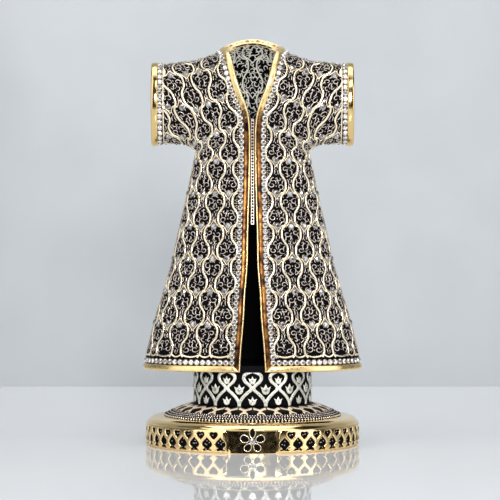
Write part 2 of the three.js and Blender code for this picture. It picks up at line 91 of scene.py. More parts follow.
COLUMN_WIDTH = [(0, 7.3), (5.5, 7), (10, 7.7)]
BAND = 2.8
HEM_ROW = YOKE_ROWS + (UNDERARM_Z - HEM_Z) / ROW_HEIGHT
rng = np.random.default_rng(11)


def read_table(table, at):
    """A cubic through a table's rows; its slope at a row is the slope between that row's neighbours."""
    x, y = np.array(table, float).T
    slope = np.empty_like(y)
    slope[1:-1] = (y[2:] - y[:-2]) / (x[2:] - x[:-2])
    slope[0], slope[-1] = (y[1] - y[0]) / (x[1] - x[0]), (y[-1] - y[-2]) / (x[-1] - x[-2])
    i = np.clip(np.searchsorted(x, at, side="right") - 1, 0, len(x) - 2)
    span = x[i + 1] - x[i]
    t = np.clip((at - x[i]) / span, 0, 1)
    ends = y[i] * (2 * t**3 - 3 * t**2 + 1) + y[i + 1] * (3 * t**2 - 2 * t**3)
    return ends + span * (slope[i] * (t**3 - 2 * t**2 + t) + slope[i + 1] * (t**3 - t**2))


# %% [markdown]
# ## The cloth as one surface
#
# The garment could be modelled by pulling a box about, but its lattice has to follow it exactly. So
# the cloth is a function: a row number down the garment and a length along that row give a point.
# Below the underarm a row is half an ellipse. Above it, the rows blend from the chest's section to
# the armhole's, and then run on along the sleeve to the cuff.

# %% The surface's formulas
def body_point(side, row, turn, inset=0.0):
    """Skirt: x = half width * sin(turn), y = half depth * cos(turn). Yoke: the chest's quarter round
    and upright are mixed with the armhole's ellipse by the square of x over the armhole's x."""
    z = UNDERARM_Z - (row - YOKE_ROWS) * ROW_HEIGHT
    across = np.sin(turn)
    skirt = np.stack([(read_table(SKIRT_HALF_WIDTH, z) - inset) * across,
                      side * (read_table(SKIRT_HALF_DEPTH, z) - inset) * np.cos(turn),
                      z + 0 * across], -1)
    f = np.clip(row / YOKE_ROWS, 0, 1)
    x = ARMHOLE_X * across
    share = across**2
    bend = np.minimum(1, f / CHEST_BEND) * (np.pi / 2)
    straight = np.maximum(0, (f - CHEST_BEND) / (1 - CHEST_BEND))
    chest_drop = CHEST_ROUND * (1 - np.cos(bend)) + (1 - CHEST_ROUND) * straight
    drop = chest_drop * (1 - share) + (1 - np.cos(np.pi * f)) / 2 * share
    chest = (CHEST_DEPTH - inset) * np.sin(bend)
    armhole = (ARMHOLE_DEPTH - inset) * np.sin(np.pi * f)
    arch = np.maximum(0, 1 - (x / NECK_X) ** 2) * (side == BACK)
    neck = max(0.0, NECK_DEPTH - 0.8 * inset) * np.sqrt(arch) * (1 - f**2)
    ridge = read_table(SHOULDER_Z, np.where(arch > 0, NECK_X, np.abs(x))) + NECK_RISE * arch
    top = ridge - inset * (1 - 0.5 * np.sqrt(arch))
    depth = np.sqrt(chest**2 * (1 - share) + armhole**2 * share + neck**2)
    yoke = np.stack([x, side * depth, top - drop * (top - UNDERARM_Z - inset * share)], -1)
    return np.where((row < YOKE_ROWS)[..., None], yoke, skirt)


def sleeve_point(side, f, x, inset=0.0):
    """Ellipses from the armhole to the cuff; f runs from the top seam (0) to the underarm (1)."""
    out = x - ARMHOLE_X
    t = out / (CUFF_X - ARMHOLE_X)
    shoulder = SHOULDER_Z[-1][1]
    top = shoulder + (CUFF_TOP_Z - shoulder) * t * (1.5 - 0.5 * t) - inset
    bottom = CUFF_BOTTOM_Z + (UNDERARM_Z - CUFF_BOTTOM_Z) * np.exp(-out / UNDERARM_CURVE) + inset
    depth = ARMHOLE_DEPTH + (CUFF_DEPTH - ARMHOLE_DEPTH) * t - inset
    z = (top + bottom) / 2 + (top - bottom) / 2 * np.cos(np.pi * f)
    return np.stack([x + 0 * f, side * depth * np.sin(np.pi * f), z], -1)


def row_start(side, row):
    """Where a row leaves the centre: at the front edge, found by halving in the yoke, or at x = 0."""
    if side == BACK:
        return np.zeros_like(row)
    low, high = np.zeros_like(row), np.full_like(row, ARMHOLE_X)
    for _ in range(30):
        x = (low + high) / 2
        edge = read_table(FRONT_HALF_GAP, body_point(side, row, np.arcsin(x / ARMHOLE_X))[..., 2])
        low, high = np.where(x < edge, x, low), np.where(x < edge, high, x)
    z = UNDERARM_Z - (row - YOKE_ROWS) * ROW_HEIGHT
    return np.where(row < YOKE_ROWS, low, read_table(FRONT_HALF_GAP, z))


ROW_STEP, LENGTH_STEP = 0.02, 0.25
BODY_STEPS, SLEEVE_STEPS = 140, 60


def cloth_table(side, inset=0.0):
    """Points and outward normals at even steps of row and of length, with where each row meets the
    armhole or side seam (arm) and where it ends (end)."""
    row = np.arange(0, HEM_ROW + ROW_STEP, ROW_STEP)[:, None].clip(max=HEM_ROW)
    z = UNDERARM_Z - (row - YOKE_ROWS) * ROW_HEIGHT
    width = np.where(row < YOKE_ROWS, ARMHOLE_X, read_table(SKIRT_HALF_WIDTH, z) - inset)
    start = np.arcsin(row_start(side, row) / width)
    turn = start + (np.pi / 2 - start) * np.linspace(0, 1, BODY_STEPS + 1)
    body = body_point(side, row + 0 * turn, turn, inset)
    x = np.linspace(ARMHOLE_X, CUFF_X, SLEEVE_STEPS + 1)[1:]
    sleeve = sleeve_point(side, np.clip(row / YOKE_ROWS, 0, 1), x, inset)
    sleeve = np.where((row < YOKE_ROWS)[..., None], sleeve, body[:, -1:])
    line = np.concatenate([body, sleeve], 1)
    normal = np.empty_like(line)
    yoke = int((row < YOKE_ROWS).sum())
    for rows in (slice(0, yoke), slice(yoke, None)):
        part = line[rows]
        normal[rows] = np.cross(np.gradient(part, axis=0), np.gradient(part, axis=1)) * -side
    normal[yoke:, -SLEEVE_STEPS:] = normal[yoke:, BODY_STEPS - 1:BODY_STEPS]
    normal /= np.linalg.norm(normal, axis=2, keepdims=True) + 1e-12
    step = np.linalg.norm(np.diff(line, axis=1), axis=2)
    length = np.concatenate([np.zeros((len(row), 1)), np.cumsum(step, 1)], 1)
    at = np.arange(0, length.max() + LENGTH_STEP, LENGTH_STEP)
    both = np.concatenate([line, normal], 2)
    table = np.array([[np.interp(at, length[i], both[i, :, k]) for k in range(6)] for i in range(len(row))])
    return {"side": side, "table": table.transpose(0, 2, 1),
            "arm": length[:, BODY_STEPS], "end": length[:, -1]}


def on_cloth(cloth, s, row, height=0.0):
    """Points at length s along a row, mixed from the four nearest entries of the table and moved out
    along the normal by height. A negative s is on the other half. Gives points and normals."""
    s, row = np.broadcast_arrays(np.asarray(s, float), np.asarray(row, float))
    table = cloth["table"]
    u = np.clip(row / ROW_STEP, 0, table.shape[0] - 1.001)
    v = np.clip(np.abs(s) / LENGTH_STEP, 0, table.shape[1] - 1.001)
    i, j = u.astype(int), v.astype(int)
    a, b = (u - i)[..., None], (v - j)[..., None]
    mixed = (table[i, j] * (1 - a) * (1 - b) + table[i + 1, j] * a * (1 - b)
             + table[i, j + 1] * (1 - a) * b + table[i + 1, j + 1] * a * b)
    mixed[..., [0, 3]] *= np.where(s < 0, -1.0, 1.0)[..., None]
    point, normal = mixed[..., :3], mixed[..., 3:]
    normal = normal / (np.linalg.norm(normal, axis=-1, keepdims=True) + 1e-12)
    return point + normal * np.asarray(height)[..., None], normal


def at_row(values, row):
    """A per-row value of the table, such as where rows end, at any row number."""
    return np.interp(row, np.arange(len(values)) * ROW_STEP, values)


front = cloth_table(FRONT)
back = cloth_table(BACK)
back_inside = cloth_table(BACK, WALL)
print("rows in the table:", len(front["end"]))
print("hem's half width along the cloth:", round(front["end"][-1], 1), "mm")

# %% [markdown]
# ## Making meshes from arrays
#
# Every piece goes into Blender in one write: all its points, all its faces, and any value that its
# material reads, such as how high a point stands in the relief. Shapes that repeat, such as stones,
# are one small template copied by arithmetic, not by a loop over objects.

# %% Mesh helpers
def add_piece(name, points, faces, material, replaces=(), values=None, smooth=True, face_values=None):
    """Puts points (in millimetres) and lists of quads and triangles into a new object that rides on
    the body; unused points are dropped."""
    faces = faces if isinstance(faces, list) else [faces]
    groups = [np.asarray(f, int).reshape(len(f), -1) for f in faces if len(f)]
    corners = np.concatenate([f.ravel() for f in groups])
    used, index = np.unique(corners, return_inverse=True)
    sizes = np.concatenate([np.full(len(f), f.shape[1]) for f in groups])
    mesh = bpy.data.meshes.new(name)
    mesh.vertices.add(len(used))
    metres = np.asarray(points).reshape(-1, 3)[used] * MM
    mesh.vertices.foreach_set("co", metres.ravel().astype(np.float32))
    mesh.loops.add(len(corners))
    mesh.loops.foreach_set("vertex_index", index.ravel().astype(np.int32))
    mesh.polygons.add(len(sizes))
    mesh.polygons.foreach_set("loop_start", (np.cumsum(sizes) - sizes).astype(np.int32))
    mesh.polygons.foreach_set("use_smooth", np.full(len(sizes), smooth))
    mesh.update(calc_edges=True)
    for key, value in (values or {}).items():
        attribute = mesh.attributes.new(key, "FLOAT", "POINT")
        attribute.data.foreach_set("value", np.asarray(value).ravel()[used].astype(np.float32))
    for key, value in (face_values or {}).items():
        attribute = mesh.attributes.new(key, "FLOAT", "FACE")
        attribute.data.foreach_set("value", np.asarray(value).ravel().astype(np.float32))
    mesh.materials.append(material)
    piece = bpy.data.objects.new(name, mesh)
    bpy.context.scene.collection.objects.link(piece)
    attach(piece, "root")
    if replaces:
        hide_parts(*replaces)
    print(f"{name}: {len(used)} points, {int((sizes - 2).sum())} triangles")
    return piece


def grid_faces(shape, start=0, wrap=(False, False)):
    """Quads of a grid of points, the first side along axis 0 and the second along axis 1."""
    number = start + np.arange(shape[0] * shape[1]).reshape(shape)
    if wrap[0]:
        number = np.concatenate([number, number[:1]], 0)
    if wrap[1]:
        number = np.concatenate([number, number[:, :1]], 1)
    return np.stack([number[:-1, :-1], number[1:, :-1], number[1:, 1:], number[:-1, 1:]], -1).reshape(-1, 4)


def flipped(faces):
    """The same faces seen from the other side."""
    return faces[:, ::-1]


def smoothstep(low, high, x):
    """0 below low, 1 above high, and an even slope between."""
    t = np.clip((x - low) / (high - low), 0, 1)
    return t * t * (3 - 2 * t)


def mirrored(points):
    """Points on the wearer's other side."""
    return points * np.array([-1.0, 1.0, 1.0])


def joined(parts):
    """Several (points, faces, value) sets of quads as one."""
    starts = np.cumsum([0] + [len(p[0]) for p in parts[:-1]])
    faces = [p[1] + s for p, s in zip(parts, starts)]
    return np.concatenate([p[0] for p in parts]), np.concatenate(faces), np.concatenate([p[2] for p in parts])


RIDGE_ACROSS = np.array([-0.5, -0.39, 0.0, 0.39, 0.5])
RIDGE_UP = np.array([-0.3, 0.80, 1.0, 0.80, -0.3])
SLIM_ACROSS = np.array([-0.5, -0.24, 0.24, 0.5])
SLIM_UP = np.array([-0.3, 0.95, 0.95, -0.3])


def ridges(centre, normal, width, height, keep=None, sink=0.0, slim=False):
    """Rounded ridges along lines: five points across each (four if slim), to both sides of the line
    and up along the surface's normal. Arrays are (lines, points, 3). Quads that touch a dropped
    point go."""
    across, up = (SLIM_ACROSS, SLIM_UP) if slim else (RIDGE_ACROSS, RIDGE_UP)
    sections = len(across)
    tangent = np.gradient(centre, axis=1)
    tangent /= np.linalg.norm(tangent, axis=2, keepdims=True) + 1e-12
    aside = np.cross(normal, tangent)
    width = np.broadcast_to(np.asarray(width, float), centre.shape[:2])[..., None, None]
    height = np.broadcast_to(np.asarray(height, float), centre.shape[:2])[..., None, None]
    points = (centre[:, :, None] + aside[:, :, None] * width * across[:, None]
              + normal[:, :, None] * (height * up[:, None] - sink))
    lines, count = centre.shape[:2]
    number = np.arange(lines * count * sections).reshape(lines, count, sections)
    quads = np.stack([number[:, :-1, :-1], number[:, 1:, :-1], number[:, 1:, 1:], number[:, :-1, 1:]], -1)
    if keep is not None:
        kept = keep[:, :-1] & keep[:, 1:]
        quads = quads[np.broadcast_to(kept[..., None], quads.shape[:3])]
    rise = np.broadcast_to(np.clip(up, 0, 1), (lines, count, sections))
    return points.reshape(-1, 3), quads.reshape(-1, 4), rise.ravel()


def copies(template, faces, centre, normal, along, size):
    """A small template, whose points are (aside, along, up), copied to many places with its own size
    in each. Gives the points and the faces of all the copies."""
    along = along - normal * (along * normal).sum(-1, keepdims=True)
    along /= np.linalg.norm(along, axis=-1, keepdims=True) + 1e-12
    aside = np.cross(along, normal)
    size = np.broadcast_to(np.asarray(size, float), (len(centre),))[:, None, None]
    ways = np.stack([aside, along, normal], 1)
    points = centre[:, None] + size * sum(ways[:, None, k] * template[:, k, None] for k in range(3))
    starts = np.arange(len(centre)) * len(template)
    return points.reshape(-1, 3), (faces + starts[:, None, None]).reshape(-1, faces.shape[1])


# %% [markdown]
# ## Finishes
#
# Cast and plated relief reads through two things: how polished the metal is, and the dark patina left
# low in it. Two node groups make these once for all the metals. The patina darkens a metal by the
# height that each point carries, and the cast grain varies colour and roughness and gives a bump. In
# the edging golds the same dark is a painted dark reflection, and inside the back neck it is also painted
# shadow.

# %% Node groups: patina and cast grain
def socket(group, name, kind, way, value=None):
    """Adds a named socket to a node group."""
    made = group.interface.new_socket(name=name, in_out=way, socket_type="NodeSocket" + kind)
    if value is not None:
        made.default_value = value
    return made


def link(tree, *pairs):
    """Joins sockets two by two."""
    for a, b in pairs:
        tree.links.new(a, b)


def patina_and_painted_dark_group():
    """Mixes a dark colour into a metal where the relief is low: the mask is the height between two
    limits, softened by a fine noise, so that the dark lies in the corners as real patina does. In the
    edging golds the same dark is a painted dark reflection, and in the scrolls inside the back it is
    also painted shadow lower down."""
    group = bpy.data.node_groups.new("patina and painted dark in relief", "ShaderNodeTree")
    socket(group, "Height", "Float", "INPUT", 1.0)
    socket(group, "Metal", "Color", "INPUT", (0.8, 0.75, 0.6, 1))
    socket(group, "Dark", "Color", "INPUT", (0.02, 0.02, 0.02, 1))
    socket(group, "From", "Float", "INPUT", 0.2)
    socket(group, "To", "Float", "INPUT", 0.8)
    socket(group, "Noise", "Float", "INPUT", 0.25)
    socket(group, "Colour", "Color", "OUTPUT")
    socket(group, "Mask", "Float", "OUTPUT")
    nodes = group.nodes
    inside, out = nodes.new("NodeGroupInput"), nodes.new("NodeGroupOutput")
    place, noise = nodes.new("ShaderNodeTexCoord"), nodes.new("ShaderNodeTexNoise")
    noise.inputs["Scale"].default_value = 900
    noise.inputs["Detail"].default_value = 2
    centred, scaled, added = (nodes.new("ShaderNodeMath") for _ in range(3))
    centred.operation, scaled.operation = "SUBTRACT", "MULTIPLY"
    centred.inputs[1].default_value = 0.5
    limits, mix = nodes.new("ShaderNodeMapRange"), nodes.new("ShaderNodeMix")
    limits.interpolation_type = "SMOOTHSTEP"
    mix.data_type = "RGBA"
    link(group, (place.outputs["Object"], noise.inputs["Vector"]),
         (noise.outputs["Fac"], centred.inputs[0]),
         (centred.outputs[0], scaled.inputs[0]),
         (inside.outputs["Noise"], scaled.inputs[1]),
         (inside.outputs["Height"], added.inputs[0]),
         (scaled.outputs[0], added.inputs[1]))
    link(group, (added.outputs[0], limits.inputs["Value"]),
         (inside.outputs["From"], limits.inputs["From Min"]),
         (inside.outputs["To"], limits.inputs["From Max"]),
         (limits.outputs["Result"], mix.inputs["Factor"]),
         (inside.outputs["Dark"], mix.inputs[6]),
         (inside.outputs["Metal"], mix.inputs[7]),
         (mix.outputs[2], out.inputs["Colour"]),
         (limits.outputs["Result"], out.inputs["Mask"]))
    return group


def grain_group():
    """A cast surface's grain: noise at a given scale, as a roughness between two limits and as the
    normal of a shallow bump."""
    group = bpy.data.node_groups.new("cast grain", "ShaderNodeTree")
    socket(group, "Scale", "Float", "INPUT", 1500.0)
    socket(group, "Smooth", "Float", "INPUT", 0.1)
    socket(group, "Rough", "Float", "INPUT", 0.3)
    socket(group, "Bump", "Float", "INPUT", 0.2)
    socket(group, "Depth", "Float", "INPUT", 0.0001)
    socket(group, "Roughness", "Float", "OUTPUT")
    socket(group, "Normal", "Vector", "OUTPUT")
    nodes = group.nodes
    inside, out = nodes.new("NodeGroupInput"), nodes.new("NodeGroupOutput")
    place, noise = nodes.new("ShaderNodeTexCoord"), nodes.new("ShaderNodeTexNoise")
    noise.inputs["Detail"].default_value = 4
    limits, bump = nodes.new("ShaderNodeMapRange"), nodes.new("ShaderNodeBump")
    limits.inputs["From Min"].default_value = 0.3
    limits.inputs["From Max"].default_value = 0.7
    link(group, (place.outputs["Object"], noise.inputs["Vector"]),
         (inside.outputs["Scale"], noise.inputs["Scale"]),
         (noise.outputs["Fac"], limits.inputs["Value"]),
         (inside.outputs["Smooth"], limits.inputs["To Min"]),
         (inside.outputs["Rough"], limits.inputs["To Max"]),
         (limits.outputs["Result"], out.inputs["Roughness"]))
    link(group, (noise.outputs["Fac"], bump.inputs["Height"]),
         (inside.outputs["Bump"], bump.inputs["Strength"]),
         (inside.outputs["Depth"], bump.inputs["Distance"]),
         (bump.outputs["Normal"], out.inputs["Normal"]))
    return group


PATINA_AND_PAINTED_DARK, GRAIN = patina_and_painted_dark_group(), grain_group()


def metal(name, colour, dark, smooth, rough, limits=(0.2, 0.8), noise=0.25, grain=1500.0, bump=0.15,
          attribute=None, metallic=1.0, low_metallic=None, low_rough=None):
    """A plated metal whose dark lies low in its relief, patina in most metals and painted dark in a few:
    its own Principled shader, fed by the two groups. attribute names the height that the mesh carries;
    without one the metal is clean. low_metallic and low_rough are for enamel that lies low under raised
    metal: it is no metal, it is matt and it hardly glints."""
    material = bpy.data.materials.new(name)
    material.use_nodes = True
    tree = material.node_tree
    shader = tree.nodes["Principled BSDF"]
    shader.inputs["Metallic"].default_value = metallic
    patina, cast = tree.nodes.new("ShaderNodeGroup"), tree.nodes.new("ShaderNodeGroup")
    patina.node_tree, cast.node_tree = PATINA_AND_PAINTED_DARK, GRAIN
    patina.inputs["Metal"].default_value = (*colour, 1)
    patina.inputs["Dark"].default_value = (*dark, 1)
    patina.inputs["From"].default_value, patina.inputs["To"].default_value = limits
    patina.inputs["Noise"].default_value = noise
    for key, value in (("Scale", grain), ("Smooth", smooth), ("Rough", rough), ("Bump", bump)):
        cast.inputs[key].default_value = value
    if attribute:
        height = tree.nodes.new("ShaderNodeAttribute")
        height.attribute_name = attribute
        link(tree, (height.outputs["Fac"], patina.inputs["Height"]))
    link(tree, (patina.outputs["Colour"], shader.inputs["Base Color"]),
         (cast.outputs["Normal"], shader.inputs["Normal"]))
    if low_metallic is not None:
        part = tree.nodes.new("ShaderNodeMapRange")
        part.inputs["To Min"].default_value, part.inputs["To Max"].default_value = low_metallic, metallic
        link(tree, (patina.outputs["Mask"], part.inputs["Value"]),
             (part.outputs["Result"], shader.inputs["Metallic"]))
        glint = tree.nodes.new("ShaderNodeMapRange")
        glint.inputs["To Min"].default_value, glint.inputs["To Max"].default_value = 0.03, 0.5
        link(tree, (patina.outputs["Mask"], glint.inputs["Value"]),
             (glint.outputs["Result"], shader.inputs["Specular IOR Level"]))
    if low_rough is None:
        link(tree, (cast.outputs["Roughness"], shader.inputs["Roughness"]))
    else:
        mix = tree.nodes.new("ShaderNodeMix")
        mix.inputs[2].default_value = low_rough
        link(tree, (patina.outputs["Mask"], mix.inputs[0]),
             (cast.outputs["Roughness"], mix.inputs[3]),
             (mix.outputs[0], shader.inputs["Roughness"]))
    return material


def patina_and_painted_dark_of(material):
    """The node of the patina and painted dark group in a material."""
    return next(n for n in material.node_tree.nodes if n.type == "GROUP" and n.node_tree == PATINA_AND_PAINTED_DARK)


def enamel(name, colour, smooth, rough, bump, grain=1400.0):
    """Black enamel over cast metal: a dark coat with speckled colour and a granular bump."""
    darker = tuple(c * 0.35 for c in colour)
    material = metal(name, colour, darker, smooth, rough, (-0.3, 1.4), 2.4, grain, bump, metallic=0.0)
    tree = material.node_tree
    value = tree.nodes.new("ShaderNodeTexVoronoi")
    value.inputs["Scale"].default_value = 1300
    place = tree.nodes.new("ShaderNodeTexCoord")
    link(tree, (place.outputs["Object"], value.inputs["Vector"]),
         (value.outputs["Distance"], patina_and_painted_dark_of(material).inputs["Height"]))
    tree.nodes["Principled BSDF"].inputs["Specular IOR Level"].default_value = 0.04
    return material


def crystal(name):
    """A foil-backed crystal: bright and mirror-smooth, each facet's colour a painted glint from the mesh."""
    material = bpy.data.materials.new(name)
    material.use_nodes = True
    tree = material.node_tree
    shader = tree.nodes["Principled BSDF"]
    shader.inputs["Metallic"].default_value = 0.75
    shader.inputs["Roughness"].default_value = 0.05
    facet, ramp = tree.nodes.new("ShaderNodeAttribute"), tree.nodes.new("ShaderNodeValToRGB")
    facet.attribute_name = "facet"
    # The ramp runs from a painted dark reflection through grey to a painted highlight.
    ramp.color_ramp.elements[0].color = (0.12, 0.135, 0.155, 1)
    ramp.color_ramp.elements[1].color = (0.95, 0.96, 0.97, 1)
    middle = ramp.color_ramp.elements.new(0.45)
    middle.color = (0.57, 0.60, 0.62, 1)
    link(tree, (facet.outputs["Fac"], ramp.inputs["Fac"]),
         (ramp.outputs["Color"], shader.inputs["Base Color"]))
    return material


def spot_the_painted_reflection(material, scale, stops):
    """Lays a painted dark reflection, in spots, into a metal's dark: a noise runs through a ramp of
    (place, colour) stops, and the ramp's colour takes the place of the group's single dark colour."""
    tree = material.node_tree
    place = tree.nodes.new("ShaderNodeTexCoord")
    noise = tree.nodes.new("ShaderNodeTexNoise")
    noise.inputs["Scale"].default_value = scale
    noise.inputs["Detail"].default_value = 4
    painted_reflection_ramp = tree.nodes.new("ShaderNodeValToRGB")
    ramp = painted_reflection_ramp.color_ramp.elements
    for position, colour in stops:
        stop = ramp.new(position)
        stop.color = (*colour, 1)
    ramp[0].color = (*stops[0][1], 1)
    ramp[-1].color = (*stops[-1][1], 1)
    link(tree, (place.outputs["Object"], noise.inputs["Vector"]),
         (noise.outputs["Fac"], painted_reflection_ramp.inputs["Fac"]),
         (painted_reflection_ramp.outputs["Color"], patina_and_painted_dark_of(material).inputs["Dark"]))


BLACK_ENAMEL = enamel("black enamel, granular", (0.005, 0.0045, 0.006), 0.45, 0.7, 0.5)
INNER_BLACK = enamel("black inside of the cloth", (0.007, 0.007, 0.010), 0.35, 0.6, 0.6, 900.0)
LATTICE_METAL = metal("antique pale gold ridges", (1.0, 0.885, 0.67), (0.03, 0.024, 0.018),
                      0.14, 0.3, (0.2, 0.75), 0.3, attribute="rise", metallic=1.0)
SCROLL_METAL = metal("antique silver scrolls", (0.80, 0.70, 0.625), (0.012, 0.01, 0.01),
                     0.22, 0.42, (0.3, 0.95), 0.5, attribute="rise", metallic=0.9)
# Scrolls inside the back: the same relief as outside, but a bright matt cream, as painted light, since little
# light reaches in through the neck.
INNER_METAL = metal("scrolls inside the back", (1.0, 0.97, 0.88), (0.012, 0.01, 0.01),
                    0.3, 0.5, (0.1, 0.9), 0.4, attribute="rise", metallic=0.0)
# Polished gold of the cuffs: its dark brown is a painted dark reflection for low parts; every point of the
# cuff rings has full rise, so it does not show.
POLISHED_GOLD = metal("polished gold edging", (0.78, 0.57, 0.26), (0.50, 0.22, 0.05),
                      0.08, 0.2, (0.15, 0.75), 0.5, 420.0, 0.10, attribute="rise")
# Satin gold of the front edging: its dark, spotted from near black to brown, is a painted dark reflection of
# the room, laid in the channel.
SATIN_GOLD = metal("satin gold edging", (0.98, 0.74, 0.36), (0.2, 0.08, 0.01),
                   0.22, 0.36, (0.15, 0.75), 0.7, 420.0, 0.10, attribute="rise")
# Spots of painted dark reflection in the satin gold's channel.
spot_the_painted_reflection(SATIN_GOLD, 170, ((0.36, (0.010, 0.007, 0.006)), (0.44, (0.075, 0.028, 0.010)),
                                  (0.60, (0.21, 0.095, 0.026))))
BRUSHED_GOLD = metal("brushed gold of the neck", (1.0, 0.80, 0.46), (0.3, 0.18, 0.06),
                     0.5, 0.62, (0.15, 0.75), 0.4, 420.0, 0.10, attribute="rise", metallic=0.8)
CUP_METAL = metal("browned cups", (0.34, 0.22, 0.13), (0.02, 0.014, 0.01),
                  0.25, 0.4, (0.2, 0.9), 0.3, attribute="rise")
STONE = crystal("foil-backed crystal")

# %% [markdown]
# ## The walls of the cloth
#
# Each panel is a wall two millimetres thick, outside face and plain inside, closed round its edges.
# It could be a sheet with a Solidify modifier, but the inside here has its own formula, so the wall
# stays true at the shoulder and underarm, where an offset would fold over itself.

# %% Panels
def panel_wall(outer, inner):
    """Two grids of the same shape, outside and inside, joined along all four edges. Gives quads and
    which points are outside."""
    shape = outer.shape[:2]
    count = shape[0] * shape[1]
    number = np.arange(count).reshape(shape)
    rim = np.concatenate([number[0], number[1:, -1], number[-1, -2::-1], number[-2:0:-1, 0]])
    after = np.roll(rim, -1)
    edge = np.stack([rim, after, after + count, rim + count], -1)
    faces = np.concatenate([grid_faces(shape), flipped(grid_faces(shape, count)), edge])
    return np.concatenate([outer.reshape(-1, 3), inner.reshape(-1, 3)]), faces


def body_grids(side, rows=150, columns=64):
    """The outside and inside of a body panel's half, even in row and in turn."""
    row = np.linspace(0, HEM_ROW, rows)[:, None] + np.zeros(columns)
    start = np.arcsin(row_start(side, row) / np.where(row < YOKE_ROWS, ARMHOLE_X,
                      read_table(SKIRT_HALF_WIDTH, UNDERARM_Z - (row - YOKE_ROWS) * ROW_HEIGHT)))
    turn = start + (np.pi / 2 - start) * np.linspace(0, 1, columns)
    return body_point(side, row, turn), body_point(side, row, turn, WALL)


def sleeve_grids(rows=96, columns=24):
    """The outside and inside of a sleeve, round from the top seam and along to the cuff."""
    around = np.linspace(0, 2, rows, endpoint=False)[:, None] + np.zeros(columns)
    side = np.where(around < 1, FRONT, BACK)
    f = np.where(around < 1, around, 2 - around)
    x = np.linspace(ARMHOLE_X, CUFF_X, columns) + 0 * f
    grids = [np.where((side == FRONT)[..., None], sleeve_point(FRONT, f, x, d), sleeve_point(BACK, f, x, d))
             for d in (0.0, WALL)]
    return grids[0], grids[1]


def wall_area(points, faces):
    """The area of quads, in square millimetres."""
    a, b, c, d = (points[faces[:, k]] for k in range(4))
    halves = (np.linalg.norm(np.cross(p - a, q - a), axis=1) for p, q in ((b, c), (c, d)))
    return sum(halves).sum() / 2


NECK_TUCK = 0.75


def add_wall(name, outer, inner, wraps=False):
    """One panel of the cloth, its wall closed round its edges; its area is worked out but not used."""
    if wraps:
        count = outer.shape[0] * outer.shape[1]
        number = np.arange(count).reshape(outer.shape[:2])
        ends = []
        for column, turned in ((number[:, 0], True), (number[:, -1], False)):
            after = np.roll(column, -1)
            quad = np.stack([column, after, after + count, column + count], -1)
            ends.append(quad if turned else flipped(quad))
        skin = grid_faces(outer.shape[:2], 0, (True, False))
        faces = np.concatenate([skin, flipped(skin) + count, *ends])
        points = np.concatenate([outer.reshape(-1, 3), inner.reshape(-1, 3)])
    else:
        points, faces = panel_wall(outer, inner)
    a, b, c = (points[faces[:, k]] for k in range(3))
    if (np.cross(b - a, c - a) * a).sum() < 0:
        faces = flipped(faces)
    piece = add_piece(name + "_cloth", points, faces, BLACK_ENAMEL, [name])
    area = wall_area(points, faces) / 2 * MM**2
    return piece


front_outer, front_inner = body_grids(FRONT)
add_wall("front_left", front_outer, front_inner)
add_wall("front_right", mirrored(front_outer), mirrored(front_inner))
back_outer, back_inner = body_grids(BACK)
for grid in (back_outer, back_inner):
    grid[0, :, 2] -= NECK_TUCK * smoothstep(NECK_X + 1, NECK_X - 1, grid[0, :, 0])
add_wall("back", *[np.concatenate([mirrored(g)[:, :0:-1], g], 1) for g in (back_outer, back_inner)])
sleeve_outer, sleeve_inner = sleeve_grids()
add_wall("sleeve_left", sleeve_outer, sleeve_inner, wraps=True)
add_wall("sleeve_right", mirrored(sleeve_outer), mirrored(sleeve_inner), wraps=True)

# %% [markdown]
# ## The lattice
#
# Wavy ridges run down the cloth in mirrored pairs, and pointed arches close the cells between them,
# so that pear and onion shapes alternate: the ogee pattern of court silks. On the real piece it is
# cast in one with the ground. Here each ridge is a rounded strip laid on the cloth's surface.

# %% Lines and arches
BORDER_X = 44.4
LIFT = 0.055
LINES = {FRONT: range(0, 9), BACK: range(1, 10)}


def on_lattice(cloth, s, row, height=0.0):
    """A point of the cloth in the lattice's own rows, which sit a little higher than the cloth's."""
    return on_cloth(cloth, s, np.maximum(np.asarray(row, float) - LIFT, 0), height)


def column_width(row):
    """The width of a lattice column at a row."""
    return read_table(COLUMN_WIDTH, row)


def line_at(side, index, row):
    """A wavy line: its column boundary, swung one way for even lines and the other for odd ones. A
    second, smaller wave rounds its bulges."""
    origin = FIRST_COLUMN if side == FRONT else 0.0
    wave = np.sin(2 * np.pi * row) + 0.1 * np.sin(6 * np.pi * row)
    swing = np.where(np.asarray(index) % 2, -1.0, 1.0) * WAVE * wave
    return origin + column_width(row) * (index - 0.5) + swing


def cell_sides(side, column, row):
    """The lines on both sides of a column of cells; the back's centre column lies across x = 0."""
    first = column - 1 if side == FRONT else column
    low = line_at(side, first, row)
    if side == BACK and column == 0:
        low = -line_at(side, 1, row)
    return low, line_at(side, first + 1, row)


def inside_cloth(cloth, s, row, margin):
    """True where a point of the relief lies on the cloth, clear of its seams and of the cuff's edging."""
    arm, end = at_row(cloth["arm"], row), at_row(cloth["end"], row)
    on_sleeve = np.abs(s) - arm < (end - arm) * (BORDER_X - ARMHOLE_X) / (CUFF_X - ARMHOLE_X) - margin
    on_body = np.abs(s) < arm - margin
    return np.where(row < YOKE_ROWS - 0.06, on_sleeve, on_body) & (row > 0.0) & (row <= ROWS)


def columns_of(side):
    """The columns of cells on one half; the back's first is its centre column."""
    return range(1 if side == FRONT else 0, 9)


def is_pear(side, column):
    """Whether a column's cells are narrow above and wide below."""
    return column % 2 == (1 if side == FRONT else 0)


